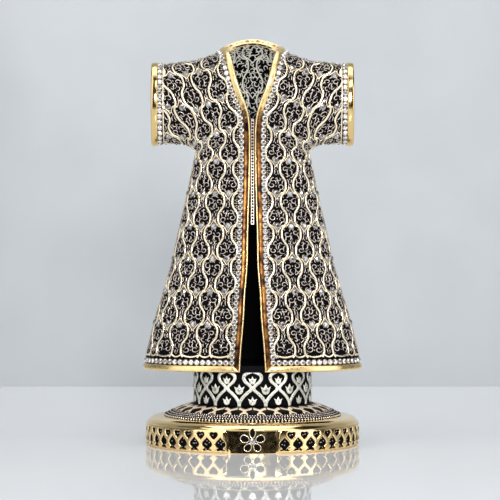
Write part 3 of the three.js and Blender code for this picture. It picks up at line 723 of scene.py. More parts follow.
def lattice(cloth, width=1.2, height=0.62, last_row=ROWS):
    """All the ridges of one half of the front or the back: wavy lines, then a bar across each column at
    each row line, thick at its ends, which rises to a thin pointed arch over the middle."""
    side = cloth["side"]
    row = np.linspace(0.0, last_row, last_row * 24 + 1)[None]
    index = np.array(LINES[side])[:, None]
    s = line_at(side, index, row)
    row = row + 0 * s
    centre, normal = on_lattice(cloth, s, row)
    parts = [ridges(centre, normal, width, height, inside_cloth(cloth, s, row, 0.2))]
    x = np.linspace(-1, 1, 25)
    for column in columns_of(side):
        down = 1 if is_pear(side, column) else -1
        level = np.arange(1, last_row)[:, None]
        low, high = cell_sides(side, column, level)
        tip = down * 3.0 * np.maximum(0, 1 - np.abs(x) / 0.62) / ROW_HEIGHT
        s = (low + high) / 2 + x * (high - low) / 2
        row = level + tip
        centre, normal = on_lattice(cloth, s, row)
        keep = inside_cloth(cloth, s, row, 0.2) & (s > -0.4 * (side == BACK))
        thick = 0.58 + 0.62 * smoothstep(0.52, 0.8, np.abs(x))
        parts.append(ridges(centre, normal, thick, height * 0.85, keep))
        if last_row == ROWS:
            low, high = cell_sides(side, column, np.array([[9.9]]))
            s = (low + high) / 2 + x * (high - low) / 2
            row = 9.86 + 0.075 * (1 - x**2) + 0 * s
            centre, normal = on_cloth(cloth, s, row)
            keep = inside_cloth(cloth, s, row, 0.2) & (s > -0.4 * (side == BACK))
            parts.append(ridges(centre, normal, width * 0.8, height, keep))
    return parts


def seam_lines(cloth):
    """The straight ridges that finish the lattice at the side seam, the cuff's edging and the hem's."""
    side = cloth["side"]
    down = np.linspace(YOKE_ROWS + 0.03, ROWS, 160)[None]
    parts = []
    if side == BACK:
        s = at_row(cloth["end"], down) - 0.3
        parts.append(ridges(*on_cloth(cloth, s, down), 0.9, 0.55))
    f = np.linspace(0, 1, 60)[None]
    share = (BORDER_X - ARMHOLE_X) / (CUFF_X - ARMHOLE_X)
    row = f * (YOKE_ROWS - 0.03)
    s = at_row(cloth["arm"], row) * (1 - share) + at_row(cloth["end"], row) * share
    parts.append(ridges(*on_cloth(cloth, s, row), 0.8, 0.5))
    return parts


def add_halves(name, parts, material, slot):
    """The same relief on both sides of the front, as two pieces, or on both halves of the back."""
    points, faces, rise = joined(parts)
    if name == "back":
        both = joined([(points, faces, rise), (mirrored(points), flipped(faces), rise)])
        add_piece(f"{slot[1]}_back", both[0], both[1], material, values={"rise": both[2]})
        return
    add_piece(f"{slot[1]}_front_left", points, faces, material, values={"rise": rise})
    add_piece(f"{slot[1]}_front_right", mirrored(points), flipped(faces), material,
              values={"rise": rise})


add_halves("front", lattice(front) + seam_lines(front), LATTICE_METAL, ("lattice", "lattice"))
add_halves("back", lattice(back) + seam_lines(back), LATTICE_METAL, ("lattice", "lattice"))

# %% [markdown]
# ## The scrolls in the cells
#
# Each cell holds fine relief. Here it is a plain arabesque of scrolls, leaves and dots, in eight
# designs whose two sides differ in turn and size. A design is drawn once in a unit cell, across and
# down, and the cell's own sides stretch it, so it fills a pear and, turned over, an onion.

# %% Designs in a unit cell
CELL_HALF = 3.4
LONG, SHORT = np.linspace(0, 1, 13), np.linspace(0, 1, 7)


def spiral(x, y, radius, begin, turns, close=0.3):
    """A scroll: an angle that runs on while the radius shrinks to a share of itself."""
    angle = begin + turns * 2 * np.pi * LONG
    r = radius * (1 - (1 - close) * LONG)
    return x + r * np.cos(angle) / CELL_HALF, y + r * np.sin(angle) / ROW_HEIGHT


def leaf(x, y, length, angle, bend):
    """A short bowed stroke: a line of some length at an angle in degrees, bowed sideways as a
    parabola."""
    along, aside = (SHORT - 0.5) * length, bend * (1 - (2 * SHORT - 1) ** 2)
    way = math.radians(angle)
    return (x + (along * math.sin(way) + aside * math.cos(way)) / CELL_HALF,
            y + (along * math.cos(way) - aside * math.sin(way)) / ROW_HEIGHT)


def design():
    """Two scrolls side by side in the belly and two smaller ones above them, each side drawn with its
    own turn and size, with a few bowed leaves between, so that each stroke has dark ground round it."""
    scroll, leaves = [], []
    for side in (-1, 1):
        for x, high, low, small, large, turns, close in ((0.48, 0.50, 0.57, 1.0, 1.25, 0.75, 0.45),
                                                         (0.54, 0.74, 0.81, 1.3, 1.6, 0.95, 0.35)):
            y, radius = rng.uniform(high, low), rng.uniform(small, large)
            begin, way = rng.uniform(0, 6), rng.choice([-1, 1])
            scroll.append(spiral(side * x, y, radius, begin, way * turns, close))
        for x, y in ((0.55, 0.19), (0.62, 0.35), (0.2, 0.645), (0.92, 0.645), (0.35, 0.93)):
            x = side * (x + rng.uniform(-0.08, 0.08))
            bend = rng.choice([-1, 1]) * rng.uniform(0.3, 0.6)
            y, length = y + rng.uniform(-0.02, 0.02), rng.uniform(1.7, 2.7)
            leaves.append(leaf(x, y, length, rng.uniform(-35, 35), bend))
    dots = [(0, 0.11), (0, 0.27), (0, 0.43), (0, 0.54), (0.95, 0.56), (-0.95, 0.56), (0, 0.78),
            (0.95, 0.88), (-0.95, 0.88)]
    return scroll, leaves, dots


DESIGNS = [design() for _ in range(8)]
MARGIN = 0.95


def cell_places(cloth, column, level, u, v):
    """From a unit cell to the cloth: v runs down the row (turned over for an onion), and u runs from
    one side line to the other, less a margin."""
    side = cloth["side"]
    v = v if is_pear(side, column) else 1 - v
    row = level + v
    low, high = cell_sides(side, column, row)
    s = (low + high) / 2 + u * ((high - low) / 2 - MARGIN)
    return s, row


def scrolls(cloth, width=0.50, height=0.45, levels=ROWS):
    """Every cell's strokes and dots, its design chosen at random but the same at each run."""
    side = cloth["side"]
    parts, spots = [], []
    for column in columns_of(side):
        for level in range(levels):
            scroll, leaves, dots = DESIGNS[rng.integers(len(DESIGNS))]
            for strokes, thick in ((scroll, 1.0), (leaves, 1.15)):
                u, v = (np.array(axis) for axis in zip(*strokes))
                s, row = cell_places(cloth, column, level, u, v)
                centre, normal = on_lattice(cloth, s, row)
                taper = (np.sin(np.pi * np.linspace(0, 1, u.shape[1])) * 0.85 + 0.15) ** 0.5
                keep = inside_cloth(cloth, s, row, 0.5) & (row < ROWS - 0.12) & (row > 0.06)
                keep &= s > -0.3 * (side == BACK)
                parts.append(ridges(centre, normal, width * thick * taper, height * taper, keep, 0.02,
                                    slim=True))
            du, dv = np.array(dots).T
            spots.append(np.stack(cell_places(cloth, column, level, du, dv), -1))
    spots = np.concatenate(spots)
    s, row = spots.T
    return parts, spots[inside_cloth(cloth, s, row, 0.7) & (row < ROWS - 0.1) & (row > 0.08) & (s > -0.2)]


def dome(sides=6):
    """A granule: a base ring just under the surface, a ring half way up, and a top point."""
    angle = np.arange(sides) * 2 * np.pi / sides
    ring = np.stack([np.cos(angle), np.sin(angle), 0 * angle], -1)
    points = np.concatenate([ring + [0, 0, -0.2], ring * [0.8, 0.8, 1] + [0, 0, 0.6], [[0, 0, 0.95]]])
    i = np.arange(sides)
    j = (i + 1) % sides
    quads = np.stack([i, j, j + sides, i + sides], -1)
    return points, quads, np.stack([i + sides, j + sides, np.full(sides, 2 * sides)], -1)


def boss():
    """A four-pointed star, wider than it is high, for the lattice's meetings."""
    angle = np.arange(8) * np.pi / 4
    reach = np.array([1.5, 0.74, 1.1, 0.74] * 2)
    ring = np.stack([reach * np.cos(angle), reach * np.sin(angle), 0 * angle], -1)
    points = np.concatenate([ring + [0, 0, -0.2], ring * [0.88, 0.88, 1] + [0, 0, 0.60], [[0, 0, 0.74]]])
    i = np.arange(8)
    j = (i + 1) % 8
    return points, np.stack([i, j, j + 8, i + 8], -1), np.stack([i + 8, j + 8, np.full(8, 16)], -1)


def add_dots(name, centre, normal, size, material, shape=None):
    """Granules, or another small raised shape, at many places, as one piece."""
    template, quads, tips = shape or dome()
    up = np.zeros_like(centre) + [0.05, 0.02, 1.0]
    points, sides = copies(template, quads, centre, normal, up, size)
    _, tops = copies(template, tips, centre, normal, up, size)
    rise = np.tile(np.clip(template[:, 2], 0, 1), len(centre))
    return add_piece(name, points, [sides, tops], material, values={"rise": rise})


front_scrolls, front_spots = scrolls(front)
back_scrolls, back_spots = scrolls(back)
add_halves("front", front_scrolls, SCROLL_METAL, ("lattice", "scrolls"))
add_halves("back", back_scrolls, SCROLL_METAL, ("lattice", "scrolls"))

# %% Dots between the scrolls, and granules between the edging stones and the first line
pocket = np.array([(6.1, 0.06), (6.15, 0.125), (6.2, 0.19), (6.2, 0.255), (6.2, 0.32), (6.15, 0.385),
                   (6.1, 0.45), (7.0, 0.16), (7.05, 0.25), (7.0, 0.34)])
granules = (pocket + np.arange(ROWS)[:, None, None] * [0, 1]).reshape(-1, 2)
front_places = np.concatenate([front_spots - [0, LIFT], granules])


def crossings(cloth):
    """Where lines and row lines cross: the small bosses between stones."""
    index, level = np.meshgrid(LINES[cloth["side"]], np.arange(1, ROWS))
    s, row = line_at(cloth["side"], index, level).ravel(), level.ravel().astype(float)
    kept = inside_cloth(cloth, s, row, 0.5)
    return s[kept], row[kept]


def both_halves(points):
    """Points, or normals, and their mirror images."""
    return np.concatenate([points, mirrored(points)])


FRONT_DOT, BACK_DOT = 0.38, 0.42
for half, sign in (("left", 1), ("right", -1)):
    hand = np.array([sign, 1, 1])
    centre, normal = on_cloth(front, front_places[:, 0], front_places[:, 1])
    add_dots(f"dots_front_{half}", centre * hand, normal * hand, FRONT_DOT, SCROLL_METAL)
    centre, normal = on_lattice(front, *crossings(front))
    add_dots(f"bosses_front_{half}", centre * hand, normal * hand, 1.0, LATTICE_METAL, boss())
centre, normal = (both_halves(p) for p in on_lattice(back, *back_spots.T))
add_dots("dots_back", centre, normal, BACK_DOT, SCROLL_METAL)
centre, normal = (both_halves(p) for p in on_lattice(back, *crossings(back)))
add_dots("bosses_back", centre, normal, 1.0, LATTICE_METAL, boss())

# %% [markdown]
# ## The gold edging
#
# The fronts, neck, hem and cuffs are edged in gold, wrapped round the wall's edge. Down the fronts the
# edging is a channel beside a bright inner rim, and the channel's dark brown, in spots, is a painted
# reflection of the dark room; round the neck, hem and cuffs it is plain and crowned. One profile, of
# distance from the edge and height over the cloth, is carried along each edge, and its heights are
# mixed from the two kinds. On the fronts it turns the corner at the hem, so the two stretches meet in a
# mitre.

# %% Edging bands
BAND_PROFILE = np.array([(1.3, -1.8), (1.2, -2.25), (0.4, -2.4), (0, -2.2), (0, -1.0), (0, 0.9),
                         (0.12, 1.28), (0.42, 1.42), (0.62, 1.32), (0.8, 0.8), (1.2, 0.62), (1.7, 0.6),
                         (2.15, 0.62), (2.5, 0.70), (2.8, 0.74), (2.95, 0.6), (3.0, -0.3)])
FLAT_HEIGHT = np.array([-1.8, -2.25, -2.4, -2.2, -1.0, 0.8, 1.08, 1.2, 1.25, 1.29, 1.31, 1.30, 1.27,
                        1.2, 1.08, 0.8, -0.3])


def band_height(channel):
    """The profile's heights for a share of channel: 0 is the plain crowned band, 1 the channelled
    one. Gives heights, and a rise that falls to 0 over the channel and the band's outer side as the
    share grows, which is where the edging's painted dark reflection goes."""
    height = FLAT_HEIGHT + (BAND_PROFILE[:, 1] - FLAT_HEIGHT) * channel
    low = (BAND_PROFILE[:, 0] > 0.75) & (height > 0)
    return height, 1 - low * channel


def band_faces(steps, closed):
    """Quads of a band whose section closes on itself, with a fan at each open end."""
    count = len(BAND_PROFILE)
    quads = grid_faces((steps, count), 0, (closed, True))
    if closed:
        return [quads]
    first = np.arange(count)
    last = first + (steps - 1) * count
    fan = np.stack([np.zeros(count - 2, int), first[1:-1], first[2:]], -1)
    return [quads, fan, flipped(fan + last[0])]


def facing_out(points, faces):
    """Turns a closed mesh's faces outwards, by the sign of its volume."""
    volume = 0.0
    for group in faces:
        for k in range(1, group.shape[1] - 1):
            a, b, c = points[group[:, 0]], points[group[:, k]], points[group[:, k + 1]]
            volume += (a * np.cross(b, c)).sum()
    return faces if volume > 0 else [flipped(f) for f in faces]


def edge_band():
    """The front edge from shoulder to hem, a mitre, and the hem to the side seam. At distance d from
    the edge the path runs at s = d down to row hem - d, and then along that row."""
    d = BAND_PROFILE[:, 0]
    down = np.linspace(0, 1, 200)[:, None] ** 0.9
    row = down * (HEM_ROW - d / ROW_HEIGHT)
    s = d + 0 * row
    side = np.linspace(0, 1, 90)[1:, None]
    hem_row = HEM_ROW - d / ROW_HEIGHT + 0 * side
    hem_s = d + (at_row(front["end"], hem_row) - d) * side
    channel = np.concatenate([smoothstep(1.4, 3.3, down * HEM_ROW), 0 * side])
    height, rise = band_height(channel)
    points, _ = on_cloth(front, np.concatenate([s, hem_s]), np.concatenate([row, hem_row]), height)
    points[0, :, 1] = np.minimum(points[0, :, 1], 0)
    return points, rise


def add_band(name, points, closed, replaces, rise, material=SATIN_GOLD):
    """One stretch of edging from a grid of points, steps along by places across."""
    flat = points.reshape(-1, 3)
    faces = facing_out(flat, band_faces(len(points), closed))
    rise = np.broadcast_to(rise, points.shape[:2])
    return add_piece(name, flat, faces, material, replaces, values={"rise": rise})


fronts, fronts_rise = edge_band()
add_band("edge_band_left", fronts, False, ["front_band_left", "hem_band_left"], fronts_rise)
add_band("edge_band_right", mirrored(fronts), False, ["front_band_right", "hem_band_right"], fronts_rise)

d = BAND_PROFILE[:, 0]
height, plain_rise = band_height(0.0)
share = np.linspace(-1, 1, 181)[:, None]
row = HEM_ROW - d / ROW_HEIGHT + 0 * share
points, _ = on_cloth(back, at_row(back["end"], row) * share, row, height)
add_band("hem_band_round_back", points, False, ["hem_band_back"], plain_rise)

# %% Neck and cuff bands
turn = np.arcsin(NECK_X / ARMHOLE_X) * np.sin(np.linspace(-1, 1, 61) * np.pi / 2)[:, None]
ridge_x = back["table"][2, :, 0]
arch_s = np.interp(np.abs(ARMHOLE_X * np.sin(turn)), ridge_x, np.arange(len(ridge_x)) * LENGTH_STEP)
rounded = d + np.where(d < 0.05, 0.45 * ((height + 0.65) / 1.6) ** 2, 0)
row = 0.02 + rounded / ROW_HEIGHT + 0 * turn
points, _ = on_cloth(back, np.sign(turn) * arch_s + 0 * row, row, height)
points[..., 1] = np.maximum(points[..., 1], 0)
add_band("neck_band_arch", points, False, ["neck_band"], plain_rise, BRUSHED_GOLD)

around = np.linspace(0, 2, 160, endpoint=False)[:, None]
f = np.where(around < 1, around, 2 - around) + 0 * d
side = np.where(around < 1, FRONT, BACK)
for half, sign in (("left", 1), ("right", -1)):
    x = CUFF_X - d * 1.12 + 0 * f
    ring = np.where((side == FRONT)[..., None], sleeve_point(FRONT, f, x), sleeve_point(BACK, f, x))
    centre = sleeve_point(FRONT, 0 * f, x)
    centre[..., 2] = (CUFF_TOP_Z + CUFF_BOTTOM_Z) / 2
    away = np.stack([0 * f, side * np.sin(np.pi * f) / CUFF_DEPTH, np.cos(np.pi * f) / 19.6], -1)
    away /= np.linalg.norm(away, axis=-1, keepdims=True)
    points = (ring + away * height[:, None]) * [sign, 1, 1]
    add_band(f"cuff_ring_{half}", points, True, [f"cuff_band_{half}"], plain_rise, POLISHED_GOLD)

# %% [markdown]
# ## Stones
#
# Small foil-backed crystals sit at every crossing of the lattice and in rows along the edging, each in
# a thin metal cup. A stone is a table, a crown of facets and a girdle: under sixty faces. Its facets
# stay flat-shaded and each carries a painted brightness, a painted glint for the glitter of a cut stone.

# %% Stone and cup templates
def stone_template(sides=8):
    """A girdle ring, a smaller table ring turned half a step and higher up, and the table's centre."""
    angle = np.arange(sides) * 2 * np.pi / sides
    girdle = np.stack([np.cos(angle), np.sin(angle), 0 * angle + 0.28], -1)
    foot = girdle * [1, 1, 0] + [0, 0, -0.1]
    half = angle + np.pi / sides
    table = np.stack([0.55 * np.cos(half), 0.55 * np.sin(half), 0 * half + 0.66], -1)
    i = np.arange(sides)
    j = (i + 1) % sides
    centre = np.full(sides, 3 * sides)
    top = np.stack([i + 2 * sides, j + 2 * sides, centre], -1)
    skirt = np.stack([i + sides, j + sides, j], -1), np.stack([i + sides, j, i], -1)
    crown = np.stack([i, j, i + 2 * sides], -1), np.stack([j, j + 2 * sides, i + 2 * sides], -1)
    points = np.concatenate([girdle, foot, table, [[0, 0, 0.66]]])
    kind = np.concatenate([np.full(sides, k) for k in (0, 0, 1, 1, 2)])
    return points, np.concatenate([*skirt, *crown, top]), kind


def cup_template(sides=12):
    """A thin rim round a stone: outside foot, outside top, inside top."""
    angle = np.arange(sides) * 2 * np.pi / sides
    ring = np.stack([np.cos(angle), np.sin(angle), 0 * angle], -1)
    section = (1.2, -0.15), (1.12, 0.24), (1.0, 0.22)
    points = np.concatenate([ring * reach + [0, 0, up] for reach, up in section])
    i = np.arange(sides)
    j = (i + 1) % sides
    return points, np.concatenate([np.stack([i, j, j + sides, i + sides], -1),
                                   np.stack([i + sides, j + sides, j + 2 * sides, i + 2 * sides], -1)])


def add_stones(name, centre, normal, size, shade=1.0, cup=CUP_METAL):
    """Stones, and their cups, at many places; each facet's value, its painted glint, is drawn by its kind
    and scaled by the stone's own shade."""
    template, faces, kind = stone_template()
    up = np.zeros_like(centre) + [0.05, 0.02, 1.0]
    points, triangles = copies(template, faces, centre, normal, up, size)
    # Painted glint: a random brightness for each facet, within limits for skirt, crown and table.
    low, high = np.array([0.25, 0.45, 0.3])[kind], np.array([0.55, 1.0, 0.9])[kind]
    value = low + (high - low) * rng.random((len(centre), len(kind)))
    tops = (len(centre), (kind == 2).sum())
    value[:, kind == 2] = 0.3 + 0.65 * rng.random((tops[0], 1)) + 0.12 * rng.standard_normal(tops)
    facet = np.clip(value * np.reshape(shade, (-1, 1)), 0, 1)
    add_piece(name, points, triangles, STONE, smooth=False, face_values={"facet": facet})
    template, faces = cup_template()
    points, quads = copies(template, faces, centre, normal, up, size)
    rise = np.tile(np.clip(template[:, 2] * 4, 0, 1), len(centre))
    add_piece(name + "_cups", points, quads, cup, values={"rise": rise})


def junctions(cloth):
    """The places of the stones at the lattice's crossings, and just under them in an onion column."""
    side = cloth["side"]
    found = []
    for column in columns_of(side):
        level = np.arange(1, ROWS) + (0.0 if is_pear(side, column) else 0.012)
        low, high = cell_sides(side, column, level.astype(float))
        found.append(np.stack([(low + high) / 2, level], -1))
    found = np.concatenate(found)
    return found[inside_cloth(cloth, found[:, 0], found[:, 1], 1.7)] - [0, LIFT]


def even_places(path, pitch):
    """Numbers of steps along a line of points that divide it into equal lengths near a pitch."""
    length = np.concatenate([[0], np.cumsum(np.linalg.norm(np.diff(path, axis=0), axis=1))])
    count = max(2, round(length[-1] / pitch) + 1)
    return np.interp(np.linspace(0, length[-1], count), length, np.arange(len(path)))


STONE_PITCH, EDGE_STONE, CROSSING_STONE = 2.95, 1.32, 1.42
# How bright the painted glint is: edging stones brighter, stones at the crossings darker.
EDGE_SHADE, CROSSING_SHADE = 1.15, 0.45
EDGE_S, STONE_LIFT = 4.25, 0.1
last_row = HEM_ROW - EDGE_S / ROW_HEIGHT - 0.02
row = np.linspace(0.06, last_row, 900)
steps = even_places(on_cloth(front, EDGE_S, row)[0], STONE_PITCH)
edge_places = np.stack([np.full(len(steps), EDGE_S), np.interp(steps, np.arange(len(row)), row)], -1)
hem_s = np.linspace(EDGE_S, at_row(front["end"], last_row), 400)
steps = even_places(on_cloth(front, hem_s, last_row)[0], STONE_PITCH)[1:-1]
hem_places = np.stack([np.interp(steps, np.arange(len(hem_s)), hem_s), np.full(len(steps), last_row)], -1)


def sizes_and_shades(edging, crossing):
    """Sizes and the brightness of the painted glint for a row of edging stones and then darker ones at
    crossings.
    """
    size = np.concatenate([np.full(edging, EDGE_STONE), np.full(crossing, CROSSING_STONE)])
    shade = np.concatenate([np.full(edging, EDGE_SHADE), np.full(crossing, CROSSING_SHADE)])
    return size, shade


crossing = junctions(front)
places = np.concatenate([edge_places, hem_places, crossing])
size, shade = sizes_and_shades(len(edge_places) + len(hem_places), len(crossing))
for half, sign in (("left", 1), ("right", -1)):
    centre, normal = on_cloth(front, places[:, 0], places[:, 1], STONE_LIFT)
    add_stones(f"stones_front_{half}", centre * [sign, 1, 1], normal * [sign, 1, 1], size, shade=shade)

hem_s = np.linspace(-at_row(back["end"], last_row), at_row(back["end"], last_row), 800)
steps = even_places(on_cloth(back, hem_s, last_row)[0], STONE_PITCH)
hem_places = np.stack([np.interp(steps, np.arange(len(hem_s)), hem_s), np.full(len(steps), last_row)], -1)
crossing = junctions(back)
crossing = np.concatenate([crossing, crossing[crossing[:, 0] > 0.1] * [-1, 1]])
places = np.concatenate([hem_places, crossing])
size, shade = sizes_and_shades(len(hem_places), len(crossing))
centre, normal = on_cloth(back, places[:, 0], places[:, 1], STONE_LIFT)
add_stones("stones_back", centre, normal, size, shade=shade)

# %% Rows of stones round the cuffs
around = np.linspace(0, 2, 400)
f = np.where(around < 1, around, 2 - around)
side = np.where(around < 1, FRONT, BACK)
x = np.full_like(f, CUFF_X - BAND - 1.5)
ring = np.where((side == FRONT)[:, None], sleeve_point(FRONT, f, x), sleeve_point(BACK, f, x))
steps = even_places(ring, STONE_PITCH)[:-1]
centre = np.stack([np.interp(steps, np.arange(len(ring)), ring[:, k]) for k in range(3)], -1)
normal = (centre - [centre[0, 0], 0, (CUFF_TOP_Z + CUFF_BOTTOM_Z) / 2]) / [1, CUFF_DEPTH**2, 19.6**2]
normal /= np.linalg.norm(normal, axis=1, keepdims=True)
centre = centre + normal * STONE_LIFT
for half, sign in (("left", 1), ("right", -1)):
    add_stones(f"stones_cuff_{half}", centre * [sign, 1, 1], normal * [sign, 1, 1], EDGE_STONE)

# %% [markdown]
# ## The inside of the back neck
#
# Through the V neck the inside of the back shows the same kind of relief, going dark lower down in
# painted shadow. It is laid on the inside surface with its normals turned round, and only as far down as
# can be seen.

# %% Inner relief
INNER_ROWS = 3
facing_in = {"side": BACK, "table": back_inside["table"] * [1, 1, 1, -1, -1, -1], "arm": back_inside["arm"],
             "end": back_inside["arm"] * 0.6}
points, faces, rise = joined(lattice(facing_in, 0.9, 0.6, INNER_ROWS))
top = on_cloth(facing_in, np.linspace(0, 18, 40), 1.5 / ROW_HEIGHT)[0]
middle = np.abs(points[faces[:, 0], 0])
under = points[faces, 2].max(1) < np.interp(middle, top[:, 0], top[:, 2])
faces = faces[under & (middle < 17)]
lines = [(points, faces, rise), (mirrored(points), flipped(faces), rise)]
STROKE_S, STROKE_ROW = 2.3, 0.14
s, row = np.meshgrid(np.arange(-16.1, 17, STROKE_S), np.arange(0.22, 3, STROKE_ROW))
s, row = s.reshape(-1, 1), row.reshape(-1, 1)
s = s + rng.uniform(-0.3, 0.3, s.shape) * STROKE_S
row = row + rng.uniform(-0.3, 0.3, row.shape) * STROKE_ROW
turn = rng.uniform(0, 2 * np.pi, s.shape)
turn = turn + rng.choice([-1, 1], s.shape) * rng.uniform(0.8, 1.7, s.shape) * np.pi * LONG
reach = rng.uniform(1.0, 1.7, s.shape) * (1 - 0.55 * LONG)
taper = 0.5 + 0.5 * np.sin(np.pi * LONG)
centre, normal = on_cloth(facing_in, s + reach * np.cos(turn), row + reach * np.sin(turn) / ROW_HEIGHT)
strokes = ridges(centre, normal, 0.64 * taper, 0.46 * taper, None, 0.02, slim=True)
points, faces, rise = joined([*lines, strokes])
# Painted shadow: below the neck the relief's colour runs to black, for the shade deeper inside the cloth.
rise = rise * smoothstep(154, 174, points[:, 2])
add_piece("inner_relief", points, faces, INNER_METAL, values={"rise": rise})

# %% [markdown]
# ## The closure
#
# A narrow strip closes the gap between the fronts from chest to waist: a column of tiny beads between
# two wires. The strip itself is the construction's own piece; the beads are laid along it.

# %% Closure beads
z = np.arange(111, 161.5, 1.5)
row = YOKE_ROWS + (UNDERARM_Z - z) / ROW_HEIGHT
y = body_point(FRONT, row, np.zeros_like(row))[:, 1] - 0.2
centre = np.stack([0 * z, y, z], -1)
add_dots("closure_beads", centre, np.tile([0.0, -1.0, 0.0], (len(z), 1)), 0.62, INNER_BLACK)

# %% [markdown]
# ## The stand
#
# The drum, the petals and the base are turned shapes with relief. Their pattern wraps round and
# repeats, so each is a grid of angle by height whose radius is the plain profile plus a height field.
# The height also goes to the material, which lays gold on what stands up and black in what lies low.

# %% Height fields
def outline_distance(x, y, outline):
    """How far points are inside a closed outline (negative outside): the least distance to its
    edges, with the sign of a crossing count."""
    outline = np.array(outline, float)
    a, b = outline, np.roll(outline, -1, 0)
    px, py = x[..., None] - a[:, 0], y[..., None] - a[:, 1]
    ex, ey = (b - a).T
    t = np.clip((px * ex + py * ey) / np.maximum(ex**2 + ey**2, 1e-9), 0, 1)
    distance = np.sqrt(((px - t * ex) ** 2 + (py - t * ey) ** 2).min(-1))
    spans = (a[:, 1] > y[..., None]) != (b[:, 1] > y[..., None])
    with np.errstate(divide="ignore", invalid="ignore"):
        crossing = px < ex * py / ey
    inside = (spans & crossing).sum(-1) % 2 == 1
    return np.where(inside, distance, -distance)


def whole(half):
    """A symmetric outline from its right half, listed from bottom to top."""
    half = np.array(half, float)
    return np.concatenate([half, (half * [-1, 1])[::-1]])


def turned(name, radius, z, height, material, slot, replaces, values):
    """A turned relief: polar points from radius plus height, closed by a flat fan at each end."""
    rows, columns = height.shape
    angle = np.arange(columns) * 2 * np.pi / columns
    r = radius[:, None] + height
    points = np.stack([r * np.sin(angle), -r * np.cos(angle), z[:, None] + 0 * r], -1).reshape(-1, 3)
    points = np.concatenate([points, [[0, 0, z[0]], [0, 0, z[-1]]]])
    i = np.arange(columns)
    j = (i + 1) % columns
    below, above = np.full(columns, rows * columns), np.full(columns, rows * columns + 1)
    top = (rows - 1) * columns
    ends = np.concatenate([np.stack([j, i, below], -1), np.stack([i + top, j + top, above], -1)])
    faces = [flipped(grid_faces((rows, columns), 0, (False, True))), ends]
    values = {key: np.concatenate([value.ravel(), [0, 0]]) for key, value in values.items()}
    return add_piece(name, points, faces, material, replaces, values=values)


# %% The drum: an ogee trellis with tulips
DRUM_BOTTOM, DRUM_TOP, DRUM_RADIUS, REPEATS = 20.8, 37.3, 29.0, 14
TULIP = whole([(0, -2.1), (1.0, -1.75), (1.55, -0.9), (1.7, 0.1), (2.25, 1.35), (1.3, 0.85),
               (0.75, 0.7), (0, 2.3)])
DRUM_METAL = metal("pale gold over black enamel", (0.90, 0.89, 0.80), (0.004, 0.004, 0.005),
                   0.22, 0.4, (0.35, 0.7), 0.15, attribute="rise", metallic=0.8, low_metallic=0.0,
                   low_rough=0.45)
z = np.linspace(DRUM_BOTTOM, DRUM_TOP, 74)
columns = REPEATS * 52
pitch = 2 * np.pi * DRUM_RADIUS / REPEATS
x = ((np.arange(columns) / 52 + 0.5) % 1 - 0.5) * pitch
gx, gz = np.meshgrid(x, z)
RIBBON = [(20.8, 6.5), (22.4, 6.35), (23.8, 5.7), (25.6, 4.4), (27.4, 2.6), (28.9, 0.95), (30.1, 0.7),
          (31.3, 1.6), (32.8, 3.3), (34.4, 4.25), (35.8, 4.1), (36.8, 3.0), (37.3, 2.0)]
swing = read_table(RIBBON, gz)
slope = np.abs(np.gradient(swing, z, axis=0))
line = np.abs(np.abs(gx) - swing) / np.sqrt(1 + slope**2)
rise = smoothstep(0.92, 0.66, line)
for cx, cz, scale in ((0, 33.6, 0.95), (0, 23.4, 1.05), (pitch / 2, 29.1, 1.22), (-pitch / 2, 29.1, 1.22)):
    tulip = outline_distance((gx - cx) / scale, (gz - cz) / scale, TULIP) * scale
    slit = smoothstep(0.45, 0.2, np.hypot((gx - cx) * 1.5, (gz - cz + 0.2 * scale) * 0.75))
    rise = np.maximum(rise, smoothstep(-0.12, 0.18, tulip) * (1 - slit))
turned("drum_relief", np.full(len(z), DRUM_RADIUS), z, rise * 0.6, DRUM_METAL, "lattice", ["drum"],
       {"rise": rise})
angle = (np.arange(REPEATS) + 0.5) * 2 * np.pi / REPEATS
normal = np.stack([np.sin(angle), -np.cos(angle), 0 * angle], -1)
add_stones("stones_drum", normal * (DRUM_RADIUS + 0.5) + [0, 0, 28.9], normal, 0.72, shade=0.8)

# %% The petal ring: pointed arches and leaf pairs on a slope
PETAL_COUNT, PETAL_COLUMNS = 29, 28
PETAL_FOOT, PETAL_RISE, PETAL_OUTER, PETAL_INNER = 17.5, 3.0, 38.8, 30.0
t = np.linspace(0, 1, 34)
z = PETAL_FOOT + PETAL_RISE * t
radius = PETAL_OUTER + (PETAL_INNER - PETAL_OUTER) * t + 1.0 * np.sin(np.pi * t)
u = ((np.arange(PETAL_COUNT * PETAL_COLUMNS) / PETAL_COLUMNS + 0.5) % 1 - 0.5) * 2
gu, gt = np.meshgrid(u, t)
aside = 1 - np.abs(gu)
scallop = smoothstep(0.16, 0.09, np.abs(gt - 0.60 - 0.28 * np.minimum(aside, 0.9) ** 0.8))
scallop = scallop * smoothstep(0.06, 0.14, np.abs(gu))
rib = smoothstep(0.26, 0.15, aside) * smoothstep(0.12, 0.2, gt) * smoothstep(0.72, 0.62, gt)
curl = smoothstep(0.16, 0.08, np.abs(gt - 0.42 + 0.75 * aside)) * smoothstep(0.5, 0.42, aside)
rise = np.maximum(np.maximum(scallop, rib), curl)
PETAL_METAL = metal("brown gold over black enamel", (1.0, 0.82, 0.60), (0.003, 0.003, 0.004),
                    0.2, 0.4, (0.2, 0.55), 0.2, attribute="rise", metallic=0.25, low_metallic=0.0,
                    low_rough=0.4)
turned("petal_relief", radius, z, rise * 0.8, PETAL_METAL, "pale_gold", ["petal_ring"], {"rise": rise})

# %% The bead step: a slope of granules over the base's gold rim
z = np.array([14.8, 15.2, 16.4, 17.2, 17.4])
radius = np.array([44.0, 44.0, 41.0, 39.2, 38.8])
flat = np.zeros((len(z), 180))
turned("bead_step_slope", radius, z, flat, BLACK_ENAMEL, "pale_gold", ["bead_step"], {"rise": flat})


